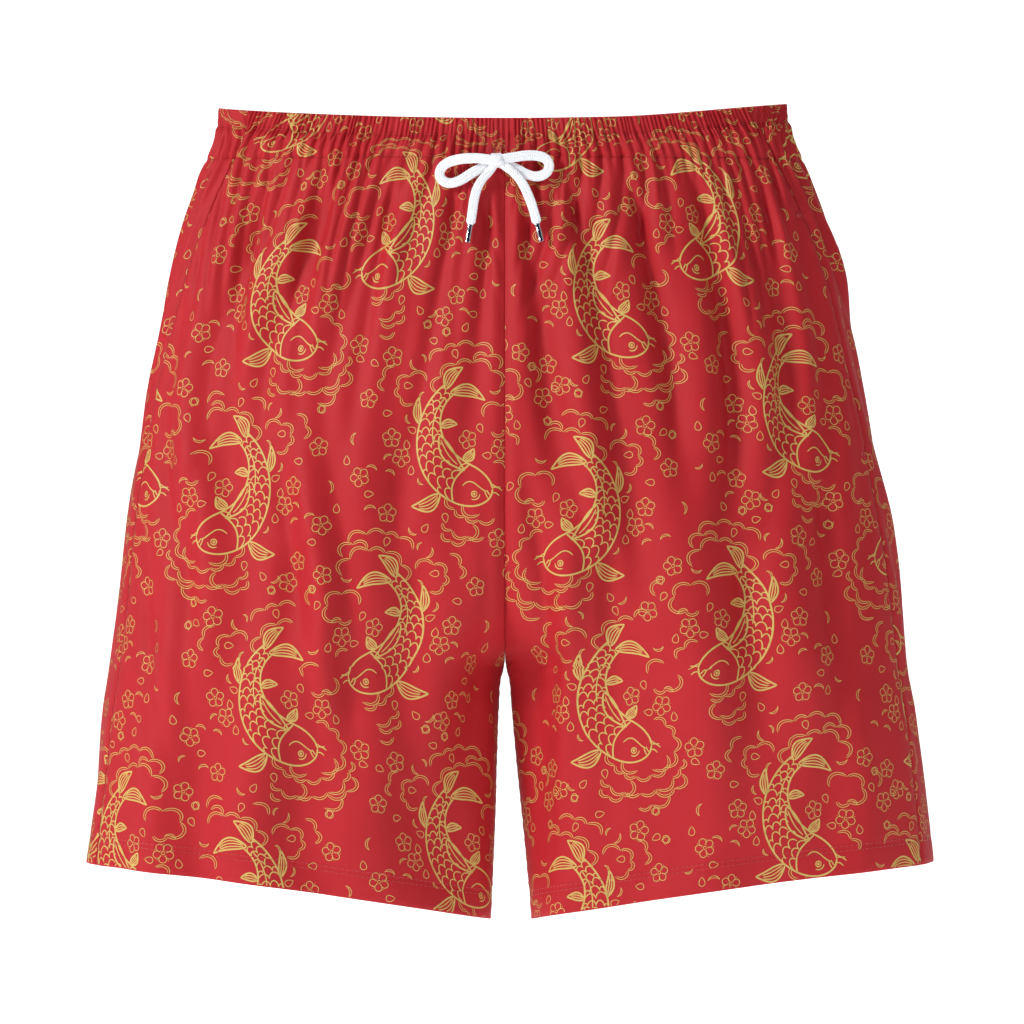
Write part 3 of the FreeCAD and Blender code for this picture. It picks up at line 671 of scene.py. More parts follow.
def relief(face, side, share, drop):
    """How far the cloth stands out from the body shape, in millimetres."""
    seed = {"front": 10, "back": 60}[face] + (0 if side > 0 else 25)
    width = flat_width(face, drop)
    p = flat_across(face, share, drop)
    inner, outer = share * width, (1 - share) * width
    near_edge = np.minimum(inner, outer)
    # From fine to coarse: the frill's ribs, pleats under it, short, long and whole-panel folds.
    ribs = 1.05 * fold_wave(p, drop, 4.3, seed, 0.05, 0.45)
    ribs = ribs * (1 - 0.8 * smoothstep(13, 24, drop)) * (1 - smoothstep(30, 44, drop))
    pleats = 1.9 * fold_wave(p, drop, 9.2, seed + 5, 0.34, 0.42) * faded(p, drop, 5, 17, 70, 24, 9, seed + 6)
    short = 2.5 * fold_wave(p, drop, 17.0, seed + 10, 0.3, 0.55) * faded(p, drop, 24, 48, 150, 60, 18, seed + 11)
    long = 4.1 * fold_wave(p, drop, 38.0, seed + 15, 0.12, 0.75) * faded(p, drop, 42, 100, 400, 190, 42, seed + 16)
    drape = 5.2 * fold_wave(p, drop, 88.0, seed + 20, 0.1, 0.9) * smoothstep(110, 330, drop)
    wrinkle = 0.45 * noise(p / 15, drop / 34, seed + 21) + 0.7 * noise(p / 34, drop / 80, seed + 22)
    ribs = ribs * (1 + 0.55 * smoothstep(0.45, 0.95, share))
    folds = (ribs + pleats) * smoothstep(0, 3.5, near_edge)
    folds = folds + (short + wrinkle * smoothstep(30, 80, drop)) * smoothstep(0, 12, near_edge)
    folds = folds + long * smoothstep(0, 26, near_edge) + drape * smoothstep(0, 55, near_edge)
    for crease_face, crease_side, start, end, wide, deep in CREASES:
        if (crease_face, crease_side) == (face, side):
            folds = folds + crease(p, drop, start, end, wide, deep) * smoothstep(0, 16, near_edge)
    channel = np.clip((drop - ROW_UPPER) / (ROW_LOWER - ROW_UPPER), 0, 1)
    folds = folds + 1.3 * np.sin(math.pi * channel) ** 0.8
    for row_drop in (ROW_UPPER, ROW_LOWER):
        folds = folds - 0.75 * np.exp(-((drop - row_drop) / 1.8) ** 2)
    rise_groove = 0.7 + 1.9 * smoothstep(36, 60, drop) * (1 - smoothstep(345, 375, drop))
    folds = folds - rise_groove * np.exp(-(inner / 4.5) ** 2)
    folds = folds - 1.1 * np.exp(-(outer / 2.0) ** 2)
    pucker = 0.32 * np.sin(2 * math.pi * drop / 9.0 + 2.2 * noise(drop / 20, 0.0, 200))
    pucker = pucker * smoothstep(30, 50, drop)
    folds = folds + pucker * (np.exp(-(inner / 7.0) ** 2) + np.exp(-(outer / 6.0) ** 2))
    sway = 1.2 * noise(drop / 62.0, 0.0, 210 + side) * smoothstep(40, 110, drop)
    folds = folds + sway * np.exp(-(outer / 45.0) ** 2)
    mouth = smoothstep(POCKET_TOP - 2, POCKET_TOP + 14, drop)
    mouth = mouth * (1 - smoothstep(POCKET_LOW - 14, POCKET_LOW + 2, drop))
    folds = folds + mouth * (0.9 if face == "front" else -1.3) * np.exp(-(outer / 5.0) ** 2)
    above_hem = hem_drop(face, share) - drop
    stitched = np.exp(-((above_hem - 17.0) / 2.6) ** 2)
    return folds - 0.5 * stitched + 0.2 * stitched * np.sin(2 * math.pi * p / 6.3)


def cloth_point(face, side, share, drop, offset, scale=1.0):
    """Points of the cloth in metres. offset is outwards, in millimetres, on top of the relief."""
    share, drop, offset = np.broadcast_arrays(share, drop, offset)
    outside, centre, depth = section(drop)
    half = outside - centre
    angle = cloth_angle(face, share, drop)
    nx, ny = np.cos(angle) / half, -np.sin(angle) / depth
    size = np.hypot(nx, ny)
    lift = relief(face, side, share, drop) * scale + offset
    inner = share * flat_width(face, drop)
    on_seam = np.exp(-(inner / 10.0) ** 2) * (1 - smoothstep(368, 384, drop))
    x = centre + half * np.cos(angle) + lift * nx / size * (1 - on_seam)
    y = -depth * np.sin(angle) + lift * ny / size
    x = np.maximum(x, 0.0)
    # The photographed pair isn't quite even: its left end is narrower and higher, its right hip narrower.
    outer_part = smoothstep(60, 180, x)
    if side > 0:
        x = x - 3.2 * outer_part * (1 - smoothstep(0, 60, drop))
    else:
        x = x - 4.2 * outer_part * smoothstep(250, 350, drop) * (1 - smoothstep(430, 520, drop))
    middle = np.cos(math.pi / 2 * np.clip(x / 192.0, 0, 1)) ** 0.7
    dip = EDGE_DIP + middle * (BACK_DIP + (CENTRE_DIP - BACK_DIP) * smoothstep(20, -30, y))
    if side > 0:
        dip = dip - 3.4 * smoothstep(70, 185, x)
    z = -drop - dip * (1 - smoothstep(10, 37, drop))
    shift = side * LEG_SHIFT * smoothstep(380, 560, drop)
    x = x + shift * (1.0 if side > 0 else np.exp(-(inner / 80.0) ** 2))
    return np.stack((side * x, y, z), axis=-1) * MM


class Sheet:
    """A grid of cloth points: rows down the cloth, columns across it."""

    def __init__(self, name, face, side, columns, rows, top, bottom):
        """rows are (part of the way down, offset, extra drop, share of the relief, on the outer face)."""
        self.name, self.face, self.side = name, face, side
        self.columns = columns
        self.top = top
        self.share = np.linspace(0, 1, columns)
        self.bottom = bottom(self.share)
        part, offset, extra, scale = (np.array([row[k] for row in rows])[:, None] for k in range(4))
        drop = top + (self.bottom - top)[None, :] * part + extra
        self.points = cloth_point(face, side, self.share[None, :], drop, offset, scale)
        self.flat = np.stack(
            (flat_across(face, self.share[None, :], drop), drop), axis=-1,
        ) * MM
        outer = [i for i, row in enumerate(rows) if row[4]]
        self.first, self.last = outer[0], outer[-1]
        self.outer_part = part[self.first:self.last + 1, 0]
        self.normals = self.find_normals()

    def find_normals(self):
        """The outward direction at each point."""
        across = np.gradient(self.points, axis=1)
        down = np.gradient(self.points, axis=0)
        normal = np.cross(down, across) * self.side
        if self.face == "back":
            normal = -normal
        return normal / np.maximum(np.linalg.norm(normal, axis=-1, keepdims=True), 1e-12)

    def locate(self, p, q, lift):
        """Places flat coordinates (millimetres) on the sheet's outer face. Also says which are on it."""
        share = share_at(self.face, p, q)
        bottom = np.interp(share, self.share, self.bottom)
        part = (q - self.top) / (bottom - self.top)
        on = (share >= 0) & (share <= 1) & (part >= 0) & (part <= 1)
        row = self.first + np.interp(part, self.outer_part, np.arange(len(self.outer_part)))
        column = np.clip(share, 0, 1) * (self.columns - 1)
        i = np.clip(row.astype(int), 0, len(self.points) - 2)
        j = np.clip(column.astype(int), 0, self.columns - 2)
        fi, fj = (row - i)[:, None], (column - j)[:, None]
        places, normals = bilinear(self.points, i, j, fi, fj), bilinear(self.normals, i, j, fi, fj)
        return places + normals * lift * MM, on

    def build(self):
        """Makes the sheet's cloth piece, which rides on the shorts."""
        faces = grid_faces(len(self.points), self.columns)
        if (self.side > 0) == (self.face == "front"):
            faces = [face[::-1] for face in faces]
        self.piece = add_mesh(
            self.name, self.points.reshape(-1, 3), faces, red_cloth, self.flat.reshape(-1, 2),
        )
        thicken(self.piece, CLOTH * MM)
        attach(self.piece, ROOT)


def outer_rows(drops):
    """Plain rows on the outer face, at parts of the way down."""
    return [(part, 0.0, 0.0, 1.0, True) for part in drops]


CLOTH = 0.35
CASING_COLUMNS = 470
PANEL_COLUMNS = 176


def casing_rows():
    """From the inner layer's lower edge, up, over the top and down the outer face."""
    rows = []
    for drop in np.arange(38.0, 1.9, -2.6):
        channel = np.clip((drop - ROW_UPPER) / (ROW_LOWER - ROW_UPPER), 0, 1)
        depth = -1.9 - 4.4 * math.sin(math.pi * channel) ** 0.7
        rows.append((0.0, depth, drop, 0.55, False))
    rows += [
        (0.0, -1.75, 1.2, 0.8, False), (0.0, -1.55, 0.5, 0.9, False),
        (0.0, -1.1, 0.1, 0.95, False), (0.0, -0.6, 0.0, 1.0, False),
    ]
    rows.append((0.0, -0.15, 0.15, 1.0, True))
    return rows + outer_rows(np.linspace(0, 1, 34)[1:])


def panel_parts():
    """Row spacing down a panel: close under the casing and at the crotch."""
    total = HEM_DROP - PANEL_TOP
    parts = [0.0]
    while parts[-1] < 1.0:
        drop = PANEL_TOP + parts[-1] * total
        step = 1.7 if drop < 95 else 2.5 if drop < 170 else 1.9 if 338 < drop < 392 else 3.3
        parts.append(parts[-1] + step / total)
    return np.array(parts[:-1]) / parts[-2]


def panel_rows():
    """Down the outer face, round the hem and up its inner layer."""
    rows = outer_rows(panel_parts())
    rows += [
        (1.0, -0.35, 0.4, 1.0, False), (1.0, -0.8, 0.45, 1.0, False), (1.0, -1.2, 0.1, 1.0, False),
    ]
    rows += [(1.0, -1.35, -rise, 1.0, False) for rise in np.arange(2.0, TURNUP + 0.1, 3.0)]
    return rows


sheets = {}
for face in ("front", "back"):
    for word, side in SIDES.items():
        casing = Sheet(
            f"{face}_casing_{word}", face, side, CASING_COLUMNS, casing_rows(), 0.0,
            lambda share: np.full(np.shape(share), CASING_END),
        )
        panel = Sheet(
            f"{face}_cloth_{word}", face, side, PANEL_COLUMNS, panel_rows(), PANEL_TOP,
            lambda share, face=face: hem_drop(face, share),
        )
        sheets[face, word] = (casing, panel)
        casing.build()
        panel.build()
        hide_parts(f"{face}_panel_{word}", f"hem_turnup_{word}")
        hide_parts(f"waistband_{face}")

# ---------------------------------------------------------------- the print: koi, clouds and blossom

# The print is drawn in millimetres on the flat cloth: u to the viewer's right, v up. Each line is
# (points, width). A koi curves like a C round its middle, with its head at the lower right.

OUTLINE, SCALE_LINE, FINE = 1.15, 0.78, 0.46
BODY_LENGTH = 98.0


def koi_spine():
    """Points and headings of the koi's back bone, every half millimetre from the nose."""
    steps = np.arange(0, BODY_LENGTH + 0.5, 0.5)
    heading = np.radians(186 - 1.3 * steps - 0.0022 * steps ** 2)
    u = 27 + np.cumsum(np.cos(heading)) * 0.5
    v = -29.5 + np.cumsum(np.sin(heading)) * 0.5
    return steps, np.stack((u, v), axis=1), heading


SPINE = koi_spine()


def half_body(s):
    """Half the koi's width at a distance from its nose."""
    head = 13.8 * np.clip(1 - (np.clip(24 - s, 0, 24) / 24) ** 2.5, 0, 1) ** 0.55
    trunk = 4.6 + 9.2 * (0.5 + 0.5 * np.cos(math.pi * np.clip((s - 26) / 72, 0, 1)))
    return np.where(s < 25, head, trunk)


def on_koi(s, across):
    """A point by its distance from the nose and its share of the half width; the outside of the bend is +1."""
    steps, line, heading = SPINE
    s = np.asarray(s, float)
    angle = np.interp(s, steps, heading)
    base = np.stack((np.interp(s, steps, line[:, 0]), np.interp(s, steps, line[:, 1])), axis=-1)
    outward = np.stack((-np.sin(angle), np.cos(angle)), axis=-1)
    return base + outward * (half_body(s) * across)[..., None]


def leaf(base, tip, wide, bend, rays):
    """A fin or petal: two bowed edges from base to tip, with rays between them."""
    base, tip = np.array(base, float), np.array(tip, float)
    t = np.linspace(0, 1, 24)
    along = tip - base
    across = np.array((-along[1], along[0])) / np.hypot(*along)
    centre = base + along * t[:, None] + across * (bend * np.sin(math.pi * t))[:, None]
    belly = wide * np.sin(math.pi * t ** 0.8)
    lines = [(centre + across * (belly * edge)[:, None], OUTLINE) for edge in (-1, 1)]
    for ray in range(rays):
        edge = (ray + 1) / (rays + 1) * 2 - 1
        lines.append(((centre + across * (belly * edge)[:, None])[2:19], SCALE_LINE))
    return lines


def ring(centre, radius, width, turn=0.0, sweep=360.0):
    a = np.radians(turn + np.linspace(0, sweep, max(8, int(abs(sweep) * radius / 30))))
    return (np.array(centre) + np.stack((radius * np.cos(a), radius * np.sin(a)), axis=1), width)


def turned(centre, x, y, turn):
    """Points about a centre, turned by some degrees."""
    c, d = math.cos(math.radians(turn)), math.sin(math.radians(turn))
    return np.asarray(centre) + np.stack((x * c - y * d, x * d + y * c), axis=1)


def koi():
    """The lines of one fish: body, head, scales, fins, whiskers."""
    lines = []
    s = np.linspace(0, BODY_LENGTH, 90)
    for edge in (-1, 1):
        lines.append((on_koi(s, np.full(s.shape, float(edge))), OUTLINE))
    t = np.linspace(-1, 1, 24)
    lines.append((on_koi(22 + 5.5 * np.cos(t * 1.5), t), OUTLINE))
    eye = on_koi(12.0, np.array(0.34))
    lines += [ring(eye, 1.9, SCALE_LINE), ring(eye, 0.7, OUTLINE), ring(eye, 3.8, SCALE_LINE, -120, 120)]
    for near, far, edge in ((1.5, 4.0, 0.1), (3.2, 5.6, 0.15)):
        lines.append((on_koi(np.linspace(near, far, 8), np.linspace(0.9, edge, 8)), SCALE_LINE))
    t = np.linspace(0, 1, 16)
    lines.append((on_koi(21 - 18 * t, 0.10 - 0.42 * np.sin(math.pi * t ** 0.7) + 0.2 * t), SCALE_LINE))
    row = 0
    at = 28.0
    while at < 94:
        count = max(1, int(round(2 * float(half_body(at)) / 6.3)))
        edges = np.linspace(-1, 1, count + 1)
        if row % 2:
            edges = np.concatenate(([-1], edges[:-1] + 1 / count, [1]))
        for low, high in zip(edges, edges[1:]):
            if (low + high) / 2 < -0.35 and 29 < at < 57:
                continue
            arc = np.linspace(0, math.pi, 12)
            across = (low + high) / 2 - (high - low) / 2 * np.cos(arc)
            bulge = min(4.2, 0.68 * (high - low) * float(half_body(at)))
            behind_gill = 5.5 * (1 - np.cos(1.5 * across)) * math.exp(-(at - 28) / 13)
            lines.append((on_koi(at + bulge * np.sin(arc) - behind_gill, across), SCALE_LINE))
        row += 1
        at += 5.5 - 0.016 * (at - 28)
    tail = on_koi(BODY_LENGTH - 1, np.array(0.0))
    for base, tip, wide, bend, rays in (
        (tail + (-2.0, 1.0), (4.9, 51.0), 4.0, 3.0, 3),
        (tail + (1.5, -1.5), (21.0, 29.0), 4.0, 4.2, 3),
        ((-10.0, -33.5), (-30.0, -41.5), 4.6, 3.4, 3),
        (on_koi(62, np.array(-0.75)), on_koi(24, np.array(-0.62)), 4.2, -2.6, 1),
        (on_koi(30, np.array(-1.0)), (13.5, -3.0), 3.0, -1.4, 3),
        (on_koi(70, np.array(1.0)), on_koi(83, np.array(2.5)), 2.6, 1.4, 2),
        (on_koi(70, np.array(-1.0)), (1.5, 13.0), 2.6, 1.4, 2),
    ):
        lines += leaf(base, tip, wide, bend, rays)
    lines.append((on_koi(np.linspace(56, 92, 30), np.linspace(-0.2, -0.45, 30)), SCALE_LINE))
    nose = np.array((27.0, -29.5))
    for drop, reach, bend in ((2.5, 7.0, 1.2), (5.0, 6.0, -1.0), (-1.0, 5.0, 1.0)):
        t = np.linspace(0, 1, 8)
        whisker = np.stack((-1 + reach * t, drop - 2 + bend * np.sin(math.pi * t) - 2 * t), axis=1)
        lines.append((nose + whisker, SCALE_LINE))
    return lines


def blossom(centre, turn, size=1.0):
    """Five round petals about a small ring, with a stamen's tip between each two."""
    lines = [ring(centre, 1.15 * size, FINE)]
    for number in range(5):
        a = math.radians(turn + 72 * number)
        away = np.array((math.cos(a), math.sin(a)))
        lines.append(ring(np.array(centre) + away * 4.2 * size, 2.5 * size, FINE, turn + 72 * number - 165, 330))
        b = a + math.radians(36)
        between = np.array((math.cos(b), math.sin(b)))
        lines.append((np.array(centre) + between * np.linspace(5.6, 6.6, 3)[:, None] * size, FINE))
    return lines


def petal(centre, turn):
    """A loose petal: round at one end, pointed at the other."""
    a = np.linspace(0, 2 * math.pi, 25)
    return turned(centre, 3.1 * np.cos(a), 2.8 * np.sin(a) * np.sin(a / 2), turn), FINE


CLOUD_SQUASH = 0.82


def cloud_edge(centre, radius, start, end, chance):
    """A cloud's edge: round lobes along part of an oval, each drawn twice. Gives (spot, lines) for each."""
    lobes = []
    angle = start
    while angle < end:
        step = math.degrees(chance.uniform(8.5, 15.5) / radius)
        lobe = radius * math.radians(step) * chance.uniform(0.30, 0.42)
        lines = []
        for inset, reach, width in ((0.0, 1.0, FINE), (1.8, 0.8, FINE * 0.9)):
            t = np.linspace(0.5 - reach / 2, 0.5 + reach / 2, 13)
            a = np.radians(angle + step * t)
            out = radius - inset + lobe * np.sin(math.pi * np.clip(t, 0.0, 1.0)) ** 0.75
            edge = np.stack((out * np.cos(a), out * CLOUD_SQUASH * np.sin(a)), axis=1)
            lines.append((np.array(centre) + edge, width))
        lobes.append((lines[0][0][6], lines))
        angle += step
    return lobes


def crescent(centre, size, turn):
    """Two arcs that meet at their ends."""
    a = np.radians(np.linspace(-75, 75, 12))
    return [
        (turned(centre, size * depth * (np.cos(a) - 0.26), size * np.sin(a), turn), FINE * 0.9)
        for depth in (1.0, 0.55)
    ]


CLOUDS = (
    ((19, -31), 24, -170, 50), ((17, -35), 33, -140, 0), ((12, -38), 42, -110, -50),
    ((9, 36), 22, 5, 165), ((6, 40), 31, 50, 120), ((31, 16), 11, -120, 100), ((-30, 36), 11, 40, 215),
    ((36, -50), 13, -110, 40), ((2, -56), 11, -160, -10), ((21, -33), 17, -150, -40), ((20, 50), 10, 0, 150),
    ((38, 20), 17, -60, 70), ((-34, 40), 18, 80, 190),
)
FLOWERS = (
    (9, 3, 35), (32, -3, 50), (-45, 4, 20), (-38, -9, 55), (44, 38, 0), (-47, -46, 12), (-38, -60, 40),
    (57, -31, 26), (-46, 58, 30), (60, 8, 60), (-62, 30, 10), (-66, -22, 44),
)


def koi_group():
    """The koi, and round it flowers, clouds, crescents and petals: (spot, lines) each, none over another."""
    chance = np.random.RandomState(19)
    items = [(np.zeros(2), koi())]
    _, bone, _ = SPINE
    taken = [(spot, 14.5) for spot in bone[:120:8]] + [(spot, 9.0) for spot in bone[120::8]]
    fins = ((4, 44), (13, 35), (-20, -37), (-27, -40), (0, 12), (11, -6), (-15, 18))
    taken += [(np.array(spot, float), 8.0) for spot in fins]

    def is_free(spot, reach):
        return all(np.hypot(*(np.asarray(spot) - other)) > reach + size for other, size in taken)

    for u, v, turn in FLOWERS:
        items.append((np.array((u, v), float), blossom((u, v), turn, chance.uniform(0.92, 1.02))))
        taken.append((np.array((u, v), float), 6.6))
    for centre, radius, start, end in CLOUDS:
        lobes = [lobe for lobe in cloud_edge(centre, radius, start, end, chance) if is_free(lobe[0], 1.0)]
        items += lobes
        taken += [(spot, 3.6) for spot, _ in lobes]

    def loose_petals(spot, turn):
        pair = (0, 80) if chance.uniform() < 0.2 else (0,)
        return [petal(spot, turn + more) for more in pair]

    def loose_crescent(spot, turn):
        return crescent(spot, chance.uniform(2.8, 4.4), turn)

    for many, reach, draw in ((26, 2.4, loose_crescent), (48, 2.7, loose_petals)):
        placed = tries = 0
        while placed < many and tries < 2500:
            tries += 1
            spot = np.array((chance.uniform(-78, 78), chance.uniform(-82, 82)))
            if not is_free(spot, reach):
                continue
            placed += 1
            taken.append((spot, reach + 1.3))
            items.append((spot, draw(spot, chance.uniform(0, 360))))
    return items


GROUP = koi_group()
REPEAT = (245.0, 270.0)
# (u, v, faces the other way), from the first koi of a repeat
MEMBERS = {
    "left": ((0, 0, False), (82, 52, True), (134, -76, False), (-25, -145, True)),
    "right": ((0, 0, False), (80, 48, True), (128, -97, False), (-30, -129, True)),
}
FIRST_KOI = {("front", "left"): (-167, -130), ("front", "right"): (-163, -132),
             ("back", "left"): (-120, -60), ("back", "right"): (-104, -90)}


def member_lines(word, member):
    """The lines of one koi and of what lies nearer to it than to the koi round about."""
    own = np.array(MEMBERS[word][member][:2], float)
    mirror = -1 if MEMBERS[word][member][2] else 1
    others = [
        np.array((u + across * REPEAT[0], v + down * REPEAT[1]), float)
        for u, v, _ in MEMBERS[word] for across in (-1, 0, 1) for down in (-1, 0, 1)
    ]
    lines = []
    for spot, drawn in GROUP:
        place = own + (mirror * spot[0], spot[1])
        reach = np.hypot(*(place - own))
        nearest = min(np.hypot(*(place - other)) for other in others if np.hypot(*(other - own)) > 1)
        if reach + 2.5 < nearest:
            lines += drawn
    return lines


def resample(points, step):
    """Evenly spaced points along a flat line."""
    lengths = np.concatenate(([0], np.cumsum(np.hypot(*np.diff(points, axis=0).T))))
    count = max(2, int(round(lengths[-1] / step)) + 1)
    at = np.linspace(0, lengths[-1], count)
    return np.stack((np.interp(at, lengths, points[:, 0]), np.interp(at, lengths, points[:, 1])), axis=1)


PRINT_LIFT = 0.13
GROUP_REACH = 85            # how far a koi's group reaches from its middle
WIDEST_CLOTH = 450


def print_on(sheet, face, word, step, low, high):
    """The part of the print that falls on a sheet, as thin raised ink."""
    outward = sheet.side if face == "front" else -sheet.side
    start = FIRST_KOI[face, word]
    drawn = [member_lines(word, member) for member in range(len(MEMBERS[word]))]
    left_edges, right_edges, first_of_line = [], [], []
    for across in range(-2, 3):
        for down in range(-1, 4):
            for (u0, v0, turned), lines in zip(MEMBERS[word], drawn):
                centre_u = start[0] + across * REPEAT[0] + u0
                centre_v = start[1] - down * REPEAT[1] + v0
                if centre_v - GROUP_REACH > -low or centre_v + GROUP_REACH < -high:
                    continue
                if not -GROUP_REACH < centre_u * outward < WIDEST_CLOTH:
                    continue
                for points, width in lines:
                    line = resample(points, step)
                    along = np.gradient(line, axis=0)
                    along /= np.maximum(np.hypot(*along.T), 1e-9)[:, None]
                    across_line = np.stack((-along[:, 1], along[:, 0]), axis=1)
                    place = np.arange(len(line))
                    ends = np.minimum(1, 0.45 + np.minimum(place, place[::-1]) * 0.4)
                    half = (width / 2 * ends)[:, None]
                    for edges, sign in ((left_edges, 1), (right_edges, -1)):
                        edge = line + across_line * half * sign
                        u = centre_u + (-edge[:, 0] if turned else edge[:, 0])
                        edges.append(np.stack((u * outward, -(centre_v + edge[:, 1])), axis=1))
                    first_of_line.append(place == 0)
    left = np.concatenate(left_edges)
    right = np.concatenate(right_edges)
    starts = np.concatenate(first_of_line)
    left_place, left_on = sheet.locate(left[:, 0], left[:, 1], PRINT_LIFT)
    right_place, right_on = sheet.locate(right[:, 0], right[:, 1], PRINT_LIFT)
    on = left_on & right_on
    joined = np.flatnonzero(on[1:] & on[:-1] & ~starts[1:])
    used = np.unique(np.concatenate((joined, joined + 1)))
    number = np.full(len(on), -1)
    number[used] = np.arange(len(used))
    points = np.concatenate((left_place[used], right_place[used]))
    flat = np.concatenate((left[used], right[used])) * MM
    a, b, n = number[joined], number[joined + 1], len(used)
    faces = np.stack((a, a + n, b + n, b), axis=1)
    normal = np.cross(
        points[faces[:, 1]] - points[faces[:, 0]], points[faces[:, 3]] - points[faces[:, 0]],
    )
    middle = points[faces[:, 0]]
    body_y = 1.0 if face == "back" else -1.0
    outwards = np.stack((middle[:, 0] * 0.3, np.full(len(middle), body_y * 0.3), np.zeros(len(middle))), axis=1)
    wrong = (normal * outwards).sum(axis=1) < 0
    faces[wrong] = faces[wrong][:, ::-1]
    return add_mesh(f"print_{sheet.name}", points, faces, gold_print, flat)


for (face, word), (casing, panel) in sheets.items():
    for sheet, step, low, high in ((casing, 0.55, 0, CASING_END), (panel, 1.0, PANEL_TOP, 560)):
        ink = print_on(sheet, face, word, step, low, high)
        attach(ink, ROOT)

# ---------------------------------------------------------------- stitching


def stitch_mesh(name, begins, ends, ups, wide, high, material):
    """Short rounded stitches between pairs of points."""
    axis = ends - begins
    across = np.cross(axis, ups)
    across /= np.maximum(np.linalg.norm(across, axis=1, keepdims=True), 1e-12)
    up = np.cross(across, axis)
    up /= np.maximum(np.linalg.norm(up, axis=1, keepdims=True), 1e-12)
    rings, around = ((0.0, 0.30), (0.14, 0.85), (0.5, 1.0), (0.86, 0.85), (1.0, 0.30)), 6
    points = []
    for along, size in rings:
        for k in range(around):
            a = 2 * math.pi * k / around
            points.append(
                begins + axis * along + across * (wide / 2 * size * math.cos(a))
                + up * (high * size * (0.35 + math.sin(a)))
            )
    points = np.stack(points, axis=1)
    count, per = points.shape[:2]
    local = np.array(grid_faces(len(rings), around, closed=True))
    caps = [tuple(range(around))[::-1], tuple(range(per - around, per))]
    faces = (local[None] + (np.arange(count) * per)[:, None, None]).reshape(-1, 4).tolist()
    for k in range(count):
        faces += [tuple(corner + k * per for corner in cap) for cap in caps]
    length = np.linalg.norm(axis, axis=1)
    starts = np.concatenate(([0], np.cumsum(length)[:-1]))
    flat = np.stack([
        np.stack((starts + length * along, np.full(count, wide * k / around)), axis=1)
        for along, _ in rings for k in range(around)
    ], axis=1)
    piece = add_mesh(name, points.reshape(-1, 3), faces, material, flat.reshape(-1, 2))
    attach(piece, ROOT)
    return piece


def stitch_on(sheet, name, begins, ends, wide=0.5, high=0.22):
    """Stitches between flat points, in millimetres, on a sheet's outer face."""
    begins, ends = np.array(begins, float), np.array(ends, float)
    a, a_on = sheet.locate(begins[:, 0], begins[:, 1], 0.05)
    b, b_on = sheet.locate(ends[:, 0], ends[:, 1], 0.05)
    higher, _ = sheet.locate(begins[:, 0], begins[:, 1], 1.05)
    on = a_on & b_on
    ups = (higher - a)[on] / MM
    return stitch_mesh(name, a[on], b[on], ups, wide * MM, high * MM, red_thread)


STITCH, STITCH_GAP = 2.5, 0.7
PANEL_WIDTH = 292.0         # roughly: turns millimetres along the hem into shares
for (face, word), (casing, panel) in sheets.items():
    across = np.arange(1.0, 300.0, STITCH + STITCH_GAP)
    begins, ends = [], []
    for row_drop in (ROW_UPPER, ROW_LOWER - 0.3):
        begins += [(p, row_drop) for p in across]
        ends += [(p + STITCH, row_drop) for p in across]
    row = stitch_on(casing, f"casing_stitches_{face}_{word}", begins, ends, 0.42, 0.14)
    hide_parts("waistband_stitching", f"waist_seam_{word}")
    begins, ends = [], []
    for rise in (15.4, 18.6):
        shares = np.arange(0.004, 0.99, (STITCH + STITCH_GAP) / PANEL_WIDTH)
        for share in shares:
            drop = float(hem_drop(face, np.array(share))) - rise
            after = share + STITCH / PANEL_WIDTH
            drop_after = float(hem_drop(face, np.array(after))) - rise
            begins.append((float(flat_across(face, share, np.array([drop]))[0]), drop))
            ends.append((float(flat_across(face, after, np.array([drop_after]))[0]), drop_after))
    row = stitch_on(panel, f"hem_stitches_{face}_{word}", begins, ends)
    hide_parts(f"hem_stitching_{word}")

# Buttonholes: an oval of packed satin stitches round each exit of the drawcord.
for word, centre in (("left", 3.2), ("right", 12.3)):
    turn = np.linspace(0, 2 * math.pi, 44, endpoint=False)
    begins = np.stack((centre + 2.0 * np.cos(turn), 31.0 + 3.4 * np.sin(turn)), axis=1)
    ends = np.stack((centre + 3.4 * np.cos(turn), 31.0 + 4.8 * np.sin(turn)), axis=1)
    row = stitch_on(sheets["front", "right"][0], f"buttonhole_stitches_{word}", begins, ends, 0.36, 0.28)
    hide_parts(f"buttonhole_{word}")

# Bar tacks: packed stitches over the side seam at both ends of each pocket mouth.
for word in SIDES:
    panel = sheets["front", word][1]
    begins, ends = [], []
    for drop in (POCKET_TOP, POCKET_LOW):
        for k in range(9):
            q = drop - 1.0 + 0.28 * k
            edge = float(side_reach("front", np.array([q]))[0])
            begins.append((edge - 7.5, q))
            ends.append((edge - 0.6, q))
    tack = stitch_on(panel, f"pocket_tacks_{word}", begins, ends, 0.34, 0.3)
    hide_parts(f"pocket_bartacks_{word}")

# ---------------------------------------------------------------- inside: seams, pockets, elastic


def cloth_grid(name, face, side, p, drop, offset, scale, material, thickness):
    """A piece of cloth that follows the outer one: p across and drop down, in grids of millimetres."""
    p, drop, offset = np.broadcast_arrays(p, drop, offset)
    share = np.clip(share_at(face, p, drop), 0, 1)
    points = cloth_point(face, side, share, drop, offset, scale)
    faces = grid_faces(*p.shape)
    if (side > 0) == (face == "front"):
        faces = [one[::-1] for one in faces]
    flat = np.stack((p, drop), axis=-1).reshape(-1, 2) * MM
    piece = add_mesh(name, points.reshape(-1, 3), faces, material, flat)
    thicken(piece, thickness * MM)
    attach(piece, ROOT)
    return piece


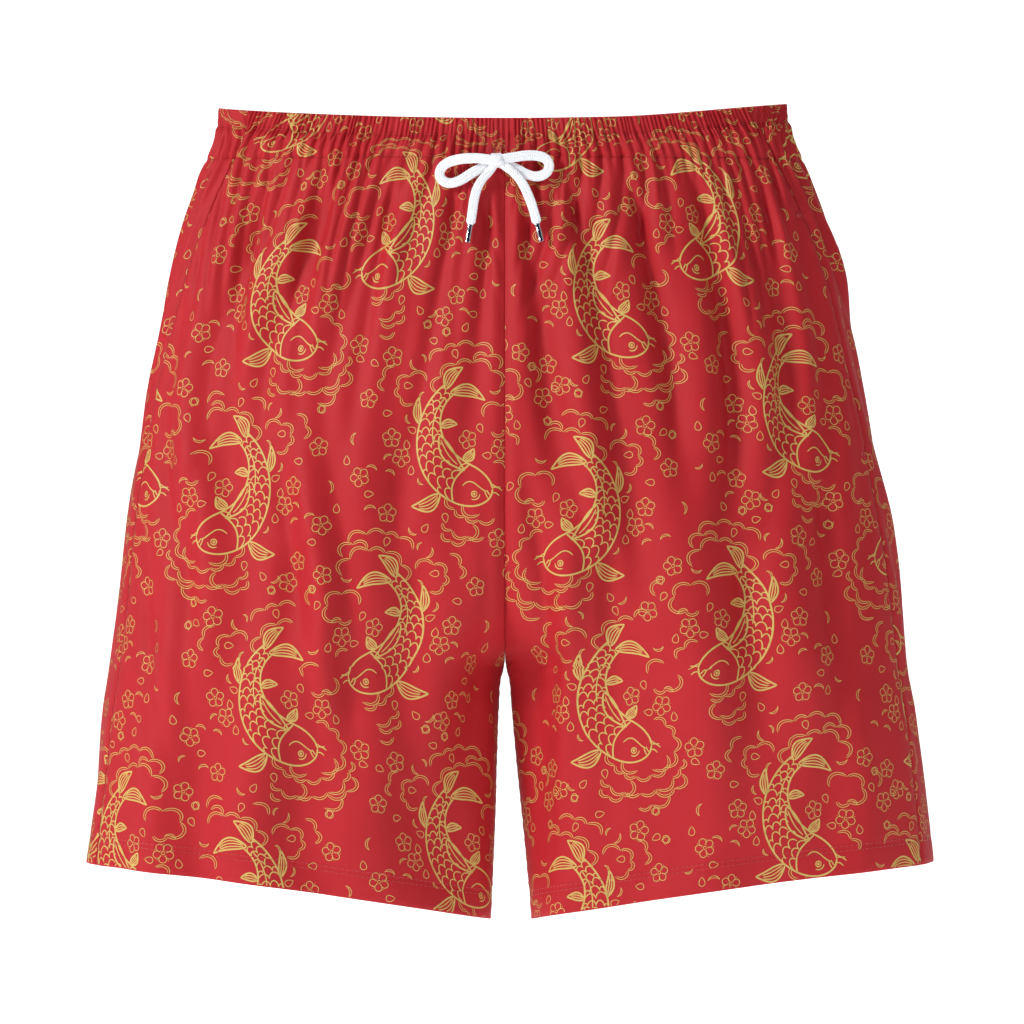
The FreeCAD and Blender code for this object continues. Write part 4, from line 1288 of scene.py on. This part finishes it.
def seam_allowance(name, face, side, top, bottom, from_side, node_name):
    """A pressed, overlocked seam allowance on the inside, with its looped thread."""
    drop = np.arange(top, bottom, 2.2)
    reach = side_reach(face, drop)
    width = flat_width(face, drop)
    edge = reach if from_side else reach - width
    inward = -1.0 if from_side else 1.0
    away = np.array((0.4, 2.0, 3.8, 5.6, 7.2))
    p = edge[:, None] + inward * away[None, :]
    wave = 0.25 * np.sin(drop / 3.1)[:, None] * (away / 7.2)[None, :]
    strip = cloth_grid(name, face, side, p, drop[:, None] + 0 * p, -1.1 + wave, 1.0, red_cloth, 0.6)
    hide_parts(node_name)
    fine = np.arange(top, bottom - 1, 1.3)
    edge_fine = np.interp(fine, drop, edge)
    out = np.where(np.arange(len(fine)) % 2 == 0, 1.6, 7.3)
    share = np.clip(share_at(face, edge_fine + inward * out, fine), 0, 1)
    line = cloth_point(face, side, share, fine, np.full(len(fine), -2.0))
    inside = np.tile((0.0, 1.0 if face == "front" else -1.0, 0.0), (len(fine) - 1, 1))
    stitch_mesh(
        f"{name}_overlock", line[:-1], line[1:], inside, 0.42 * MM, 0.22 * MM, red_thread,
    )


for word, side in SIDES.items():
    seam_allowance(f"side_allowance_{word}", "back", side, 40.0, 505.0, True, f"side_seam_{word}")
    seam_allowance(f"inseam_allowance_{word}", "back", side, 388.0, 548.0, False, f"inseam_{word}")
for face in ("front", "back"):
    seam_allowance(f"{face}_rise_allowance", face, 1, 40.0, 366.0, False, f"{face}_rise_seam")

for word, side in SIDES.items():
    # The bag: its two layers hang inside the front, joined round the edge.
    along = np.linspace(0, 1, 60)[:, None]
    from_seam = np.linspace(1.0, 146.0, 44)[None, :]
    corner = np.clip((from_seam - 96) / 50, 0, 1)
    low = 290.0 - 52.0 * (1 - np.sqrt(np.clip(1 - corner ** 2, 0, 1)))
    top = 44.0 + 0 * from_seam
    drop = top + (low - top) * along
    reach = side_reach("front", drop)
    hollow = np.sin(math.pi * np.clip(along, 0, 1)) * np.sin(math.pi * np.clip(from_seam / 146, 0, 1)) ** 0.6
    both = np.concatenate((-1.5 + 0 * hollow, (-1.9 - 4.5 * hollow)[::-1]), axis=0)
    bag = cloth_grid(
        f"pocket_cloth_{word}", "front", side,
        np.concatenate((reach - from_seam, (reach - from_seam)[::-1]), axis=0),
        np.concatenate((drop, drop[::-1]), axis=0), both, 1.0, lining_cloth, 0.3,
    )
    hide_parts(f"pocket_bag_{word}")
    # The facing under the mouth, which shows where the mouth stands open.
    drop = np.arange(POCKET_TOP - 6, POCKET_LOW + 6, 3.0)[:, None]
    from_seam = np.linspace(0.0, 22.0, 8)[None, :]
    cloth_grid(
        f"pocket_facing_{word}", "front", side, side_reach("front", drop) - from_seam, drop + 0 * from_seam,
        -2.6 + 0.9 * from_seam / 22, 1.0, red_cloth, 0.3,
    )

for (face, word), (casing, _) in sheets.items():
    side = SIDES[word]
    shares = np.linspace(0.002, 0.998, 180)[None, :]
    for name, low, high, base, deep, thick, material, slot, node_name in (
        ("elastic", 16.0, 28.0, -0.5, 1.4, 0.8, elastic_webbing, "elastic", "waistband_elastic"),
        ("channel_cord", 28.8, 33.6, -0.6, 0.3, 1.5, white_braid, "white_braid", "drawcord_in_channel"),
    ):
        drop = np.linspace(low, high, 9)[:, None]
        crown = np.sin(math.pi * (drop - low) / (high - low))
        offset = -1.0 + base - deep * crown + 0 * shares
        piece = cloth_grid(
            f"{name}_{face}_{word}", face, side, flat_across(face, shares, drop), drop + 0 * shares,
            offset, 0.7, material, thick,
        )
        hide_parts(node_name)

# ---------------------------------------------------------------- labels inside the back


def label(name, wide, top, tall, back, curl, node_name):
    """A blank woven label with a folded top and a soft curl."""
    x = np.linspace(-wide / 2, wide / 2, 17)
    v = np.concatenate(([-0.055, -0.02], np.linspace(0, 1, 30)))
    points = []
    for part in v:
        for across in x:
            bow = curl * (part - 0.1) ** 2 * math.cos(across / wide * 2.2) + 0.35 * math.sin(part * 5 + across / 6)
            depth = back - bow + (1.2 if part < 0 else 0.0)
            points.append((across, depth, -top - tall * abs(part)))
    points = np.array(points) * MM
    flat = np.array([(across, part * tall) for part in v for across in x]) * MM
    piece = add_mesh(name, points, grid_faces(len(v), len(x)), label_cloth, flat)
    thicken(piece, 0.35 * MM)
    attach(piece, ROOT)
    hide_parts(node_name)
    begins = np.array([
        (across, back - 0.5, -top - 1.8) for across in np.arange(-wide / 2 + 1, wide / 2 - 2.4, 2.6)
    ]) * MM
    stitch_mesh(
        f"{name}_stitches", begins, begins + (0.0019, 0, 0), np.tile((0.0, -1.0, 0.0), (len(begins), 1)),
        0.45 * MM, 0.3 * MM, white_thread,
    )


label("size_tag", 24.0, 13.0, 16.0, 46.4, 0.6, "size_label")
label("care_tag", 28.0, 41.0, 49.0, 50.4, 2.6, "care_label")

# ---------------------------------------------------------------- floor, backdrop and lights

FLOOR_Z = -0.64
FLOOR_RADIUS = 2.4


def turned_paper(name, profile, glow):
    """A studio surface turned round the z axis from (radius, z) points, in metres."""
    around = np.linspace(0, 2 * math.pi, 96, endpoint=False)
    points = [(r * math.cos(a), r * math.sin(a), z) for r, z in profile for a in around]
    faces = grid_faces(len(profile), len(around), closed=True)
    paper = add_mesh(name, points, faces, paper_material(f"{name}_paper", glow))
    return paper


turned_paper("studio_floor", [(0.001, FLOOR_Z), (1.0, FLOOR_Z), (FLOOR_RADIUS, FLOOR_Z)], glow=0.70)
# The backdrop stands all round, further off than any camera, and casts no light or shadow of its own.
backdrop = turned_paper("studio_backdrop", [
    (FLOOR_RADIUS, FLOOR_Z - 0.001), (9.0, FLOOR_Z - 0.001), (9.7, -0.45), (10.0, 0.1), (10.0, 5.0),
    (7.0, 8.6), (0.01, 10.0),
], glow=1.1)
for rays in ("diffuse", "glossy", "transmission", "shadow"):
    setattr(backdrop, f"visible_{rays}", False)


def area_light(name, place, target, size, power):
    data = bpy.data.lights.new(name, "AREA")
    data.shape = "RECTANGLE"
    data.size, data.size_y = size
    data.energy = power
    light = bpy.data.objects.new(name, data)
    light.location = place
    light.rotation_euler = (Vector(target) - Vector(place)).to_track_quat("-Z", "Y").to_euler()
    bpy.context.collection.objects.link(light)


area_light("key", (-2.3, -1.6, 1.1), (0, 0, -0.27), (0.7, 0.9), 67)
area_light("fill", (1.3, -3.0, 0.0), (0, 0, -0.3), (1.4, 1.6), 7)
area_light("top", (0.3, 0.3, 1.9), (0, 0.1, -0.2), (1.4, 1.0), 12)
area_light("rear", (0.8, 2.4, 1.2), (0, 0, -0.27), (1.6, 1.6), 22)

world = bpy.data.worlds.new("studio_air")
world.use_nodes = True
world.node_tree.nodes["Background"].inputs["Color"].default_value = (1, 1, 1, 1)
world.node_tree.nodes["Background"].inputs["Strength"].default_value = 0.28
bpy.context.scene.world = world
bpy.context.scene.view_settings.view_transform = "Standard"
